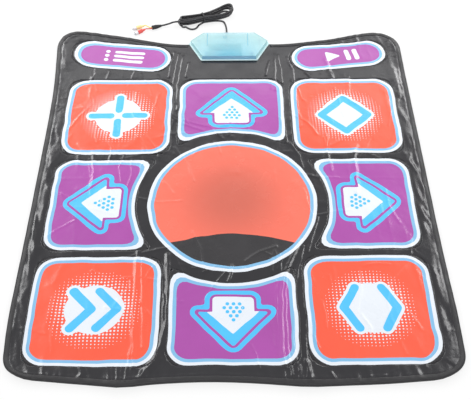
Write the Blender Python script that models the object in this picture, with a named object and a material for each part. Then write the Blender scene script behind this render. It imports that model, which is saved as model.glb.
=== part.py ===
"""Dance mat controller: a soft sheet mat with ten step pads, a clear control box at its back edge,
and a lead folded into a hank that ends in two plugs.

Metres, +Z up. The origin is on the floor under the middle of the mat, +Y runs to the control box.
"""

import math

import bpy
import bmesh
from mathutils import Matrix, Vector

# Printed step pads, three rows of three round the middle disc, and the bare strips outside them
PAD_SIZE = 0.238
PAD_GUTTER = 0.0165          # skin between two pads
MAT_MARGIN = 0.0365          # skin outside the pads at the front and the sides
BACK_STRIP = 0.1685          # skin behind the pads, which holds the menu pads and the control box
CORNER_PAD_RADIUS = 0.030
ARROW_PAD_RADIUS = 0.028
ARROW_INNER_RADIUS = 0.018
ARROW_CLEAR_OF_CENTRE = 0.1985
PAD_LEAST_RADIUS = 0.004
MENU_PAD_LENGTH = 0.236
MENU_PAD_WIDTH = 0.092
MENU_MARGIN = 0.034
MENU_SETBACK = 0.039
MENU_PAD_TILT = math.radians(7.0)
PAD_GAP = 0.0005
CONTACT_INSET = 0.018
PAD_CORNER_STEPS = 5
ARC_STEPS = 9

# Outline of the mat, seen from above
PAD_PITCH = PAD_SIZE + PAD_GUTTER
MAT_WIDTH = 2 * MAT_MARGIN + 2 * PAD_PITCH + PAD_SIZE
MAT_DEPTH = MAT_MARGIN + 2 * PAD_PITCH + PAD_SIZE + BACK_STRIP
DISC_CENTRE_Y = MAT_MARGIN + PAD_PITCH + PAD_SIZE / 2 - MAT_DEPTH / 2
MENU_PAD_X = MAT_WIDTH / 2 - MENU_MARGIN - MENU_PAD_LENGTH / 2
MENU_PAD_Y = MAT_DEPTH / 2 - MENU_SETBACK - MENU_PAD_WIDTH / 2
MAT_CORNER_RADIUS = 0.062
MAT_CORNER_STEPS = 7
BACK_STEP = 0.0405           # the back edge lies this much further forward beside the control box
BACK_STEP_START = 0.003      # the step starts this far inside the round corner
BACK_STEP_CLEAR_OF_BOX = 0.010
BACK_STEP_POINTS = 9

# Layers of the mat, from the floor up
LAYER_GAP = 0.0003
BASE_THICK = 0.0015
FOAM_THICK = 0.0016
FILM_THICK = 0.0002
SKIN_THICK = 0.0006
CONTACT_THICK = 0.0003
PAD_TRAVEL = 0.0015

# Tape sewn round the edge
BINDING_THICK = 0.0006
BINDING_WIDTH = 0.011

# Control box
BOX_X = -0.005
BOX_OVER_MAT = 0.0615        # from the mat's back edge forwards to the front of the box
BOX_WIDE_BEHIND = 0.002      # from the mat's back edge to where the box is widest
BOX_BEHIND_MAT = 0.036       # from the mat's back edge to the back of the box
BOX_FRONT_WIDTH = 0.135
BOX_WIDE_WIDTH = 0.200
BOX_BACK_WIDTH = 0.128
BOX_HEIGHT = 0.0185
BOX_WALL = 0.002
BOX_FLOOR = 0.0015
BOX_FLANGE_THICK = 0.0016
BOX_RIM = 0.003
BOX_DRAFT = 0.0012
BOX_EDGE_ROUND = 0.0014
BOX_CORNER_RADIUS = 0.004
BOX_CORNER_STEPS = 3
BOX_LAP = 0.008              # how far the upper shell covers the mat
BOX_LOWER_INSET = 0.001
FIT_GAP = 0.0005
TOUCH_GAP = 0.0003
WELD_DISTANCE = 0.000001     # points nearer than this are one point after a cut

# Round pieces
SMOOTH_ANGLE = math.radians(35.0)
TURNED_SEGMENTS = 20
SMALL_SEGMENTS = 14
POST_SEGMENTS = 16
BORE_SEGMENTS = 12

# Screws that close the box: their distances beside its middle and behind its front
CASE_SCREW_SPOTS = ((-0.054, 0.0175), (0.054, 0.0175), (-0.074, 0.0640), (0.074, 0.0640))
SCREW_RADIUS = 0.00125
SCREW_HEAD_RADIUS = 0.0028
SCREW_HEAD_HEIGHT = 0.0018
SCREW_HEAD_CROWN_RADIUS = 0.0020
SCREW_HEAD_CROWN_HEIGHT = 0.0009
SCREW_CLEARANCE = 0.0003
BOSS_WALL = 0.0022
COUNTERBORE_DEPTH = 0.0032
SCREW_BITE = 0.006

# Circuit board and what is on it
BOARD_ASIDE = -0.010         # from the middle of the box
BOARD_WIDTH = 0.080
BOARD_DEPTH = 0.044
BOARD_SETBACK = 0.024        # from the front of the box
CLAMP_WIDTH = 0.064
CLAMP_DEPTH = 0.008
CLAMP_HEIGHT = 0.003
CLAMP_SETBACK = 0.003
CLAMP_SCREW_SPACING = 0.054
FILM_TAIL_WIDTH = 0.072
FILM_TAIL_REACH = 0.002
CHIP_SIZE = (0.018, 0.0075, 0.003)
CHIP_SPOT = (-0.018, 0.018)
RESONATOR_SIZE = (0.0105, 0.0045, 0.0035)
RESONATOR_SPOT = (0.006, 0.022)
CAPACITOR_RADIUS = 0.0025
CAPACITOR_HEIGHT = 0.007
CAPACITOR_SPOT = (0.029, 0.030)
LIGHT_RADIUS = 0.0015
LIGHT_HEIGHT = 0.0052
LIGHT_FLANGE = 0.0003
LIGHT_FLANGE_HEIGHT = 0.0010
LIGHT_CROWN_RADIUS = 0.0010
LIGHT_CROWN_HEIGHT = 0.0005
SMALL_PART_EDGE = 0.0003
RESONATOR_EDGE = 0.0006
LIGHT_SPOT = (0.003, 0.033)
SOCKET_SIZE = (0.010, 0.005, 0.0052)

# Lead
LEAD_DIAMETER = 0.0046
BRANCH_DIAMETER = 0.0026
RELIEF_ASIDE = -0.006        # from the middle of the box
RELIEF_NECK_RADIUS = 0.0036
RELIEF_FLANGE_RADIUS = 0.0050
RELIEF_FLANGE_THICK = 0.0014
RELIEF_COLLAR_RADIUS = 0.0045
RELIEF_COLLAR_THICK = 0.0012
RELIEF_TAPER = 0.006
RELIEF_TIP_RADIUS = 0.0031
LEAD_STEP = 2.2              # points along a free lead lie this many diameters apart
ROUTE_STEPS = 16             # steps of the smooth curve between two points of a route
INNER_LEAD_STRAIGHT = 0.004
BRANCH_STRAIGHT = 0.004

# Everything behind the box is placed from where the lead leaves it.
# Middle of the lead from the box to the hank, on the floor, seen from above
FLOOR_ROUTE = ((-0.0012, 0.0345), (-0.0038, 0.0470), (-0.0085, 0.0570), (-0.0180, 0.0607))
# Turns at which that lead then lies along the front of the hank, and through its tie
FRONT_TURNS = (0.08, 0.10, 0.12, 0.14)
# The loop that it makes beside the hank, as distances along and across the hank
SIDE_LOOP = ((0.0560, -0.0095), (0.0495, -0.0140), (0.0445, -0.0210), (0.0380, -0.0262),
             (0.0305, -0.0262), (0.0240, -0.0215), (0.0189, -0.0158))
# The lead from the hank down to the sleeve
TAIL_ROUTE = ((-0.1290, 0.0430, 0.0140), (-0.1420, 0.0440, 0.0085))

# Hank of the folded lead: an outline that narrows at a waist, wound inwards and outwards
HANK_LEFT_END = (-0.1240, 0.0520)
HANK_ANGLE = math.radians(20.0)
HANK_LENGTH = 0.1460
HANK_SAG = 0.0140            # its middle lies this much nearer to the mat than its ends
HANK_LEFT_RADIUS = 0.0130
HANK_RIGHT_RADIUS = 0.0190
HANK_PITCH = 0.0056
HANK_LAYER = 0.0052
HANK_INNER_HALF = 0.0028     # half the distance between the two innermost runs at the waist
HANK_LAYER_TURNS = 1.5
HANK_FIRST_TURN = 0.30
HANK_FIRST_REVERSE = 1.125
HANK_LAST_TURN = 5.22
HANK_POINTS_PER_TURN = 24
HANK_WAIST = 0.44            # place of the waist along the hank, from its left end
HANK_WAIST_REACH = 0.34      # half the length over which the hank narrows, as a share of it
HANK_FAN = 0.0030            # how far the top loop reaches out at the right end
HANK_SPRING = 0.0050         # how far the top loop springs up at the right end
HANK_LEAST_GAP = 0.0004
HANK_OWN_STRETCH = 3         # diameters of lead on either side that count as the same stretch

# Tie round the waist of the hank
TIE_THICK = 0.0009
TIE_WIDTH = 0.0032
TIE_GAP = 0.0007
TIE_CORNER_STEPS = 4

# Sleeve where the lead splits
SLEEVE_LENGTH = 0.024
SLEEVE_NARROW_RADIUS = 0.0030
SLEEVE_WIDE_RADIUS = 0.0052
SLEEVE_TAPER_LENGTH = 0.0132
SLEEVE_LEAD_STRAIGHT = 0.0092
SLEEVE_START = (-0.1635, 0.0390, 0.0056)
SLEEVE_HEADING = (-0.942, -0.335)
BRANCH_SPREAD = 0.0022

# Plugs
PLUG_BOOT_RADIUS = 0.0024
PLUG_BOOT_WIDE_RADIUS = 0.0030
PLUG_BOOT_RIDGE = 0.0056     # where the boot is this wide, from its start
PLUG_RADIUS = 0.0048
PLUG_BOOT_LENGTH = 0.008
PLUG_BARREL_LENGTH = 0.012
PLUG_RING_RADIUS = 0.0041
PLUG_RING_WALL = 0.0006
PLUG_RING_LENGTH = 0.008
PLUG_PIN_RADIUS = 0.0016
PLUG_PIN_LENGTH = 0.013
PLUG_BASE_THICK = 0.0012
RED_PLUG_START = (-0.2040, 0.0250)
RED_PLUG_HEADING = (-0.80, -0.60)
YELLOW_PLUG_START = (-0.2070, 0.0395)
YELLOW_PLUG_HEADING = (-0.90, -0.436)
PLUG_LIFT = 0.0002           # the plugs lie just clear of the floor

# Places that follow from the mat's outline
MAT_LINE_Y = MAT_DEPTH / 2 - BACK_STEP
BACK_STEP_OUTER_X = MAT_WIDTH / 2 - MAT_CORNER_RADIUS - BACK_STEP_START
BACK_STEP_INNER_X = BOX_WIDE_WIDTH / 2 + BACK_STEP_CLEAR_OF_BOX
BOX_FRONT_Y = MAT_LINE_Y - BOX_OVER_MAT
BOX_WIDE_Y = MAT_LINE_Y + BOX_WIDE_BEHIND
BOX_BACK_Y = MAT_LINE_Y + BOX_BEHIND_MAT
BOARD_X = BOX_X + BOARD_ASIDE
BOARD_FRONT_Y = BOX_FRONT_Y + BOARD_SETBACK
BOARD_BACK_Y = BOARD_FRONT_Y + BOARD_DEPTH
RELIEF_X = BOX_X + RELIEF_ASIDE

# Heights that follow from the layers
RIM_LEVEL = BINDING_THICK + LAYER_GAP
FOAM_LEVEL = BASE_THICK + LAYER_GAP
FILM_LEVEL = FOAM_LEVEL + FOAM_THICK + LAYER_GAP
SPACER_LEVEL = FILM_LEVEL + FILM_THICK + LAYER_GAP
CONTACT_LEVEL = FILM_LEVEL + FILM_THICK + PAD_TRAVEL + LAYER_GAP
SPACER_TOP = CONTACT_LEVEL + CONTACT_THICK
SKIN_LEVEL = SPACER_TOP + LAYER_GAP
MAT_TOP = SKIN_LEVEL + SKIN_THICK
BINDING_LEVEL = MAT_TOP + LAYER_GAP
BOX_SPLIT = MAT_TOP + LAYER_GAP
LOWER_SHELL_TOP = BOX_SPLIT - TOUCH_GAP
BOARD_LEVEL = BOX_FLOOR + TOUCH_GAP
BOARD_TOP = FILM_LEVEL - LAYER_GAP
PART_LEVEL = BOARD_TOP + TOUCH_GAP
CLAMP_LEVEL = FILM_LEVEL + FILM_THICK + TOUCH_GAP
RELIEF_Z = (BOX_SPLIT + LOWER_SHELL_TOP) / 2
STACK_INSET = BINDING_THICK + LAYER_GAP


def clear_scene():
    for thing in list(bpy.data.objects):
        bpy.data.objects.remove(thing)


def make_finish(name, colour, roughness, metallic=0.0, alpha=1.0):
    finish = bpy.data.materials.new(name)
    finish.use_nodes = True
    shader = finish.node_tree.nodes["Principled BSDF"]
    shader.inputs["Base Color"].default_value = (*colour, 1.0)
    shader.inputs["Roughness"].default_value = roughness
    shader.inputs["Metallic"].default_value = metallic
    shader.inputs["Alpha"].default_value = alpha
    finish.diffuse_color = (*colour, alpha)
    return finish


def add_object(name, bm, finish, smooth=False):
    """Turns a bmesh into a named object with one finish."""
    bmesh.ops.recalc_face_normals(bm, faces=bm.faces[:])
    mesh = bpy.data.meshes.new(name)
    bm.to_mesh(mesh)
    bm.free()
    if smooth:
        mesh.shade_smooth()
        mesh.set_sharp_from_angle(angle=SMOOTH_ANGLE)
    mesh.materials.append(finish)
    thing = bpy.data.objects.new(name, mesh)
    bpy.context.scene.collection.objects.link(thing)
    return thing


def plate(name, outline, bottom, top, finish, holes=()):
    """A flat solid with a closed outline and any holes."""
    bm = bmesh.new()
    for loop in (outline, *holes):
        verts = [bm.verts.new((x, y, bottom)) for x, y in loop]
        for a, b in zip(verts, verts[1:] + verts[:1]):
            bm.edges.new((a, b))
    bmesh.ops.triangle_fill(bm, edges=bm.edges[:], use_beauty=True)
    raised = bmesh.ops.extrude_face_region(bm, geom=bm.faces[:])
    tops = [v for v in raised["geom"] if isinstance(v, bmesh.types.BMVert)]
    bmesh.ops.translate(bm, vec=(0, 0, top - bottom), verts=tops)
    return add_object(name, bm, finish)


def loft(name, rings, finish, smooth=False):
    """A solid skinned over rings of equal point count, closed by a flat face at both ends."""
    bm = bmesh.new()
    loops = [[bm.verts.new(point) for point in ring] for ring in rings]
    for low, high in zip(loops, loops[1:]):
        count = len(low)
        for i in range(count):
            j = (i + 1) % count
            bm.faces.new((low[i], low[j], high[j], high[i]))
    bm.faces.new(loops[0])
    bm.faces.new(loops[-1])
    return add_object(name, bm, finish, smooth)


def turned(name, profile, start, heading, finish, segments=TURNED_SEGMENTS):
    """A turned solid: the profile's (radius, height) points run from axis to axis along the heading."""
    bm = bmesh.new()
    first = bm.verts.new((0, 0, profile[0][1]))
    last = bm.verts.new((0, 0, profile[-1][1]))
    loops = []
    for radius, height in profile[1:-1]:
        ring = []
        for i in range(segments):
            angle = 2 * math.pi * i / segments
            ring.append(bm.verts.new((radius * math.cos(angle), radius * math.sin(angle), height)))
        loops.append(ring)
    for i in range(segments):
        j = (i + 1) % segments
        bm.faces.new((first, loops[0][j], loops[0][i]))
        bm.faces.new((last, loops[-1][i], loops[-1][j]))
        for low, high in zip(loops, loops[1:]):
            bm.faces.new((low[i], low[j], high[j], high[i]))
    thing = add_object(name, bm, finish, smooth=True)
    thing.rotation_mode = "QUATERNION"
    thing.rotation_quaternion = Vector(heading).to_track_quat("Z", "Y")
    thing.location = start
    return thing


def block(name, corner, size, finish, bevel=0.0):
    """A box-shaped piece, given by its lowest corner and its size."""
    bm = bmesh.new()
    bmesh.ops.create_cube(bm, size=1.0)
    middle = Vector(corner) + Vector(size) / 2
    place = Matrix.Translation(middle) @ Matrix.Diagonal((*size, 1))
    bmesh.ops.transform(bm, matrix=place, verts=bm.verts[:])
    if bevel:
        bmesh.ops.bevel(bm, geom=bm.edges[:], offset=bevel, segments=1, affect="EDGES")
    return add_object(name, bm, finish)


def shape_with(thing, tool, operation):
    """Joins a tool to a piece or cuts it from the piece, and removes the tool."""
    modifier = thing.modifiers.new(operation.title(), "BOOLEAN")
    modifier.operation = operation
    modifier.object = tool
    bpy.context.view_layer.update()
    shaped = bpy.data.meshes.new_from_object(thing.evaluated_get(bpy.context.evaluated_depsgraph_get()))
    thing.modifiers.clear()
    bm = bmesh.new()
    bm.from_mesh(shaped)
    bmesh.ops.triangulate(bm, faces=bm.faces[:])
    bmesh.ops.remove_doubles(bm, verts=bm.verts[:], dist=WELD_DISTANCE)
    bmesh.ops.dissolve_degenerate(bm, dist=WELD_DISTANCE, edges=bm.edges[:])
    bm.to_mesh(shaped)
    bm.free()
    thing.data = shaped
    bpy.data.objects.remove(tool)


def arc(centre, radius, start, end, steps):
    """Points along an arc, both ends included, with angles in radians."""
    points = []
    for i in range(steps + 1):
        angle = start + (end - start) * i / steps
        points.append((centre[0] + radius * math.cos(angle), centre[1] + radius * math.sin(angle)))
    return points


def inset_polygon(points, inset):
    """Moves each side of a counter-clockwise polygon inwards."""
    corners = [Vector(p) for p in points]
    sides = []
    for a, b in zip(corners, corners[1:] + corners[:1]):
        direction = (b - a).normalized()
        inwards = Vector((-direction.y, direction.x))
        sides.append((a + inwards * inset, direction))
    result = []
    for (p, d), (q, e) in zip(sides[-1:] + sides[:-1], sides):
        along = (q - p).cross(e) / d.cross(e)
        result.append(tuple(p + d * along))
    return result


def round_corners(points, radius, steps):
    """Replaces each corner of a polygon by an arc."""
    corners = [Vector(p) for p in points]
    result = []
    for before, corner, after in zip(corners[-1:] + corners[:-1], corners, corners[1:] + corners[:1]):
        back = (before - corner).normalized()
        ahead = (after - corner).normalized()
        half = back.angle(ahead) / 2
        middle = corner + (back + ahead).normalized() * (radius / math.sin(half))
        start = corner + back * (radius / math.tan(half)) - middle
        end = corner + ahead * (radius / math.tan(half)) - middle
        turn = math.atan2(start.cross(end), start.dot(end))
        first = math.atan2(start.y, start.x)
        result += arc(middle, radius, first, first + turn, steps)
    return result


# Outline of the mat

def back_edge(x):
    """Y of the mat's back edge: an S-shaped step from the corners down to the control box."""
    share = (BACK_STEP_OUTER_X - abs(x)) / (BACK_STEP_OUTER_X - BACK_STEP_INNER_X)
    share = min(max(share, 0.0), 1.0)
    return MAT_DEPTH / 2 - BACK_STEP * (1 - math.cos(math.pi * share)) / 2


def mat_side(inset, start_x):
    """Right half of the mat's edge, from beside the box round to the middle of the front."""
    points = [(start_x, back_edge(BACK_STEP_INNER_X) - inset)]
    for i in range(BACK_STEP_POINTS):
        x = BACK_STEP_INNER_X + (BACK_STEP_OUTER_X - BACK_STEP_INNER_X) * i / (BACK_STEP_POINTS - 1)
        points.append((x, back_edge(x) - inset))
    radius = MAT_CORNER_RADIUS - inset
    corner_x = MAT_WIDTH / 2 - MAT_CORNER_RADIUS
    corner_y = MAT_DEPTH / 2 - MAT_CORNER_RADIUS
    points += arc((corner_x, corner_y), radius, math.pi / 2, 0, MAT_CORNER_STEPS)
    points += arc((corner_x, -corner_y), radius, 0, -math.pi / 2, MAT_CORNER_STEPS)
    return points


def mat_edge(inset, right_x, left_x):
    """The mat's edge from the right of the control box, round the front, to the left of the box."""
    right = mat_side(inset, right_x)
    left = [(-x, y) for x, y in reversed(mat_side(inset, -left_x))]
    return right + left


# Outline of the control box

def box_corners(inset=0.0):
    """Corners of the six-sided box, counter-clockwise from its front left one."""
    corners = [
        (BOX_X - BOX_FRONT_WIDTH / 2, BOX_FRONT_Y),
        (BOX_X + BOX_FRONT_WIDTH / 2, BOX_FRONT_Y),
        (BOX_X + BOX_WIDE_WIDTH / 2, BOX_WIDE_Y),
        (BOX_X + BOX_BACK_WIDTH / 2, BOX_BACK_Y),
        (BOX_X - BOX_BACK_WIDTH / 2, BOX_BACK_Y),
        (BOX_X - BOX_WIDE_WIDTH / 2, BOX_WIDE_Y),
    ]
    return inset_polygon(corners, inset)


def box_ring(inset, height):
    """The box's outline with round corners, drawn in and lifted to a height."""
    radius = max(BOX_CORNER_RADIUS - inset, BOX_CORNER_RADIUS / 4)
    outline = round_corners(box_corners(inset), radius, BOX_CORNER_STEPS)
    return [(x, y, height) for x, y in outline]


def slant(inset, side, y):
    """Distance from the box's middle to a slanted side at a given y; side 1 is in front, 2 behind."""
    corners = box_corners(inset)
    (x0, y0), (x1, y1) = corners[side], corners[side + 1]
    return x0 + (x1 - x0) * (y - y0) / (y1 - y0) - BOX_X


def stack_outline(inset, lap):
    """Outline of a layer of the mat: its edge drawn in, with the notch for the control box."""
    top = back_edge(0) - inset
    half = slant(lap, 1, top)
    notch = box_corners(lap)
    return mat_edge(inset, BOX_X + half, BOX_X - half) + [notch[0], notch[1]]


# Outlines of the printed pads

def corner_pad_outline(column, row, inset=0.0):
    """A rounded square beside the disc; column and row are -1 or 1."""
    half = PAD_SIZE / 2
    middle = Vector((column * PAD_PITCH, DISC_CENTRE_Y + row * PAD_PITCH))
    square = [middle + Vector(c) * half for c in ((-1, -1), (1, -1), (1, 1), (-1, 1))]
    radius = max(CORNER_PAD_RADIUS - inset, PAD_LEAST_RADIUS)
    return round_corners(inset_polygon(square, inset), radius, PAD_CORNER_STEPS)


def arrow_pad_outline(quarter, inset=0.0):
    """A rounded square whose inner side is hollowed round the disc; quarter 0 is the back one."""
    half = PAD_SIZE / 2 - inset
    outer = PAD_PITCH + PAD_SIZE / 2 - inset
    hollow = ARROW_CLEAR_OF_CENTRE + inset
    soft = max(ARROW_INNER_RADIUS - inset, PAD_LEAST_RADIUS)
    corner = Vector((half, math.sqrt(hollow ** 2 - half ** 2)))
    side = corner + Vector((0, soft))
    angle = math.atan2(corner.y, corner.x) + soft / hollow
    hollow_end = Vector((hollow * math.cos(angle), hollow * math.sin(angle)))
    shoulder = []
    for i in range(PAD_CORNER_STEPS + 1):
        t = i / PAD_CORNER_STEPS
        shoulder.append(hollow_end * (1 - t) ** 2 + corner * (2 * t * (1 - t)) + side * t ** 2)
    radius = max(ARROW_PAD_RADIUS - inset, PAD_LEAST_RADIUS)
    right = [(p.x, p.y) for p in shoulder]
    right += arc((half - radius, outer - radius), radius, 0, math.pi / 2, PAD_CORNER_STEPS)
    left = [(-x, y) for x, y in reversed(right)]
    rest = arc((0, 0), hollow, math.pi - angle, angle, ARC_STEPS)[1:-1]
    turn = Matrix.Rotation(quarter * math.pi / 2, 2)
    centre = Vector((0, DISC_CENTRE_Y))
    return [tuple(turn @ Vector(p) + centre) for p in right + left + rest]


def menu_pad_outline(side, inset=0.0):
    """A pill beside the control box, tilted to follow the back edge; side is -1 or 1."""
    radius = MENU_PAD_WIDTH / 2 - inset
    reach = (MENU_PAD_LENGTH - MENU_PAD_WIDTH) / 2
    pill = arc((reach, 0), radius, -math.pi / 2, math.pi / 2, 2 * PAD_CORNER_STEPS)
    pill += arc((-reach, 0), radius, math.pi / 2, 3 * math.pi / 2, 2 * PAD_CORNER_STEPS)
    turn = Matrix.Rotation(side * MENU_PAD_TILT, 2)
    middle = Vector((side * MENU_PAD_X, MENU_PAD_Y))
    return [tuple(turn @ Vector(p) + middle) for p in pill]


def pad_outlines(inset=0.0):
    """Every step pad's name, colour and outline."""
    return [
        ("up", "violet", arrow_pad_outline(0, inset)),
        ("left", "violet", arrow_pad_outline(1, inset)),
        ("down", "violet", arrow_pad_outline(2, inset)),
        ("right", "violet", arrow_pad_outline(3, inset)),
        ("up_left", "coral", corner_pad_outline(-1, 1, inset)),
        ("up_right", "coral", corner_pad_outline(1, 1, inset)),
        ("down_left", "coral", corner_pad_outline(-1, -1, inset)),
        ("down_right", "coral", corner_pad_outline(1, -1, inset)),
        ("menu_left", "violet", menu_pad_outline(-1, inset)),
        ("menu_right", "violet", menu_pad_outline(1, inset)),
    ]


# The mat

def clamp_screw_spots():
    y = BOARD_FRONT_Y + CLAMP_SETBACK + CLAMP_DEPTH / 2
    return [(BOARD_X + side * CLAMP_SCREW_SPACING / 2, y) for side in (-1, 1)]


def circle(spot, radius, steps=BORE_SEGMENTS):
    return arc(spot, radius, 0, 2 * math.pi * (steps - 1) / steps, steps - 1)


def build_base_sheet(finish):
    """Non-slip sheet on the floor; its rim is thinner where the binding folds under it."""
    rim = plate("base_sheet", stack_outline(STACK_INSET, BOX_LAP), RIM_LEVEL, BASE_THICK, finish)
    middle = plate("base_middle", stack_outline(BINDING_WIDTH + LAYER_GAP, -FIT_GAP), 0,
                   (RIM_LEVEL + BASE_THICK) / 2, finish)
    shape_with(rim, middle, "UNION")


def build_foam_sheet(finish):
    plate("foam_sheet", stack_outline(STACK_INSET, BOX_LAP), FOAM_LEVEL, FOAM_LEVEL + FOAM_THICK, finish)


def build_contact_film(finish):
    """Printed contact film; a tail of it runs into the control box and under the clamp bar."""
    edge = stack_outline(STACK_INSET, BOX_LAP)
    tail_end = BOARD_FRONT_Y + CLAMP_SETBACK + CLAMP_DEPTH + FILM_TAIL_REACH
    notch_y = edge[-1][1]
    left = BOARD_X - FILM_TAIL_WIDTH / 2
    right = BOARD_X + FILM_TAIL_WIDTH / 2
    tail = [(left, notch_y), (left, tail_end), (right, tail_end), (right, notch_y)]
    holes = [circle(spot, SCREW_RADIUS + SCREW_CLEARANCE) for spot in clamp_screw_spots()]
    outline = edge[:-1] + tail + edge[-1:]
    plate("lower_contact_film", outline, FILM_LEVEL, FILM_LEVEL + FILM_THICK, finish, holes)


def build_spacer(finish):
    """Sheet that holds the contacts apart, open under each pad."""
    openings = [outline for _, _, outline in pad_outlines(-PAD_GAP)]
    plate("spacer_sheet", stack_outline(STACK_INSET, BOX_LAP), SPACER_LEVEL, SPACER_TOP, finish, openings)


def build_top_sheet(finish):
    openings = [outline for _, _, outline in pad_outlines(-PAD_GAP)]
    plate("top_sheet", stack_outline(STACK_INSET, BOX_LAP), SKIN_LEVEL, MAT_TOP, finish, openings)


def build_edge_binding(finish):
    """Tape folded round the edge of all the layers, from one side of the box to the other."""
    end = BOX_WIDE_WIDTH / 2 + FIT_GAP
    high = BINDING_LEVEL + BINDING_THICK
    section = [(0, 0), (BINDING_WIDTH, 0), (BINDING_WIDTH, BINDING_THICK),
               (BINDING_THICK, BINDING_THICK), (BINDING_THICK, BINDING_LEVEL),
               (BINDING_WIDTH, BINDING_LEVEL), (BINDING_WIDTH, high), (0, high)]
    edges = [mat_edge(inset, BOX_X + end, BOX_X - end) for inset, _ in section]
    rings = []
    for station in zip(*edges):
        rings.append([(x, y, section[k][1]) for k, (x, y) in enumerate(station)])
    loft("edge_binding", rings, finish)


def build_pads(finishes):
    """Each step pad is a panel of the printed skin with a contact under it."""
    inner = pad_outlines(CONTACT_INSET)
    for (name, colour, outline), (_, _, contact) in zip(pad_outlines(), inner):
        plate("pad_" + name, outline, SKIN_LEVEL, MAT_TOP, finishes[colour])
        plate("contact_" + name, contact, CONTACT_LEVEL, CONTACT_LEVEL + CONTACT_THICK, finishes["carbon"])


# The control box

def case_screw_spots():
    return [(BOX_X + aside, BOX_FRONT_Y + behind) for aside, behind in CASE_SCREW_SPOTS]


def post(name, spot, steps, finish):
    """An upright round solid through (radius, height) steps."""
    rings = [[(x, y, height) for x, y in circle(spot, radius, POST_SEGMENTS)] for radius, height in steps]
    return loft(name, rings, finish, smooth=True)


def relief_hole(finish):
    """Cutter for the round way out of the lead through the back wall."""
    around = circle((RELIEF_X, RELIEF_Z), RELIEF_NECK_RADIUS + TOUCH_GAP, TURNED_SEGMENTS)
    rings = [[(x, y, z) for x, z in around] for y in (BOX_BACK_Y - BOX_LAP, BOX_BACK_Y + BOX_LAP)]
    return loft("relief_hole", rings, finish)


def tray_plan(draw_in):
    """The tray from above: narrow inside the mat's notch, then as wide as the box behind the mat."""
    in_notch = BOX_LAP + FIT_GAP + draw_in
    behind = BOX_LOWER_INSET + draw_in
    step_y = back_edge(0) + FIT_GAP + draw_in
    back = box_corners(behind)
    right = [box_corners(in_notch)[1], (BOX_X + slant(in_notch, 1, step_y), step_y)]
    if back[2][1] > step_y:
        right += [(BOX_X + slant(behind, 1, step_y), step_y), back[2]]
    else:
        right.append((BOX_X + slant(behind, 2, step_y), step_y))
    right.append(back[3])
    return right + [(2 * BOX_X - x, y) for x, y in reversed(right)]


def build_lower_shell(finish):
    """Tray inside the notch of the mat, with a thin lip under the mat's edge."""
    shell = plate("box_lower_shell", tray_plan(0), 0, LOWER_SHELL_TOP, finish)
    hollow = plate("hollow", tray_plan(BOX_WALL), BOX_FLOOR, 2 * LOWER_SHELL_TOP, finish)
    shape_with(shell, hollow, "DIFFERENCE")
    lip = plate("lip", box_corners(BOX_LOWER_INSET), 0, BINDING_THICK, finish)
    shape_with(shell, lip, "UNION")
    for spot in case_screw_spots():
        radius = SCREW_HEAD_RADIUS + SCREW_CLEARANCE + BOSS_WALL / 2
        shape_with(shell, post("boss", spot, [(radius, BOX_FLOOR / 2), (radius, BOX_SPLIT)], finish), "UNION")
    bore = SCREW_RADIUS + SCREW_CLEARANCE
    seat = SCREW_HEAD_RADIUS + SCREW_CLEARANCE
    for spot in case_screw_spots():
        steps = [(seat, -BOX_FLOOR), (seat, COUNTERBORE_DEPTH),
                 (bore, COUNTERBORE_DEPTH), (bore, 2 * BOX_SPLIT)]
        shape_with(shell, post("screw_way", spot, steps, finish), "DIFFERENCE")
    for spot in clamp_screw_spots():
        pilot = post("pilot", spot, [(bore, -BOX_FLOOR), (bore, 2 * BOX_FLOOR)], finish)
        shape_with(shell, pilot, "DIFFERENCE")
    half = FILM_TAIL_WIDTH / 2 + FIT_GAP
    doorway = block("doorway", (BOARD_X - half, BOX_FRONT_Y, FILM_LEVEL - LAYER_GAP),
                    (2 * half, BOARD_FRONT_Y - BOX_FRONT_Y, BOX_SPLIT), finish)
    shape_with(shell, doorway, "DIFFERENCE")
    shape_with(shell, relief_hole(finish), "DIFFERENCE")


def build_upper_shell(finish):
    """Clear cover with a thin flange that lies over the mat's edge."""
    shoulder = BOX_SPLIT + BOX_FLANGE_THICK
    side_top = BOX_HEIGHT - BOX_EDGE_ROUND
    drawn_in = BOX_RIM + BOX_DRAFT
    bend = BOX_EDGE_ROUND * (1 - math.cos(math.pi / 4))
    rise = BOX_EDGE_ROUND * math.sin(math.pi / 4)
    outside = [box_ring(0, BOX_SPLIT), box_ring(0, shoulder), box_ring(BOX_RIM, shoulder),
               box_ring(drawn_in, side_top), box_ring(drawn_in + bend, side_top + rise),
               box_ring(drawn_in + BOX_EDGE_ROUND, BOX_HEIGHT)]
    shell = loft("box_upper_shell", outside, finish)
    roof = BOX_HEIGHT - BOX_WALL
    inside = [box_ring(BOX_RIM + BOX_WALL, BOX_SPLIT - BOX_WALL), box_ring(BOX_RIM + BOX_WALL, shoulder),
              box_ring(drawn_in + BOX_WALL, roof - BOX_EDGE_ROUND / 2),
              box_ring(drawn_in + BOX_WALL + BOX_EDGE_ROUND / 2, roof)]
    shape_with(shell, loft("hollow", inside, finish), "DIFFERENCE")
    bore = SCREW_RADIUS + SCREW_CLEARANCE
    boss = bore + BOSS_WALL
    for spot in case_screw_spots():
        steps = [(boss, BOX_SPLIT + TOUCH_GAP), (boss, roof + BOX_WALL / 2)]
        shape_with(shell, post("boss", spot, steps, finish), "UNION")
    for spot in case_screw_spots():
        steps = [(bore, BOX_SPLIT - BOX_WALL), (bore, BOX_SPLIT + SCREW_BITE + BOSS_WALL / 2)]
        shape_with(shell, post("pilot", spot, steps, finish), "DIFFERENCE")
    shape_with(shell, relief_hole(finish), "DIFFERENCE")


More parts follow.
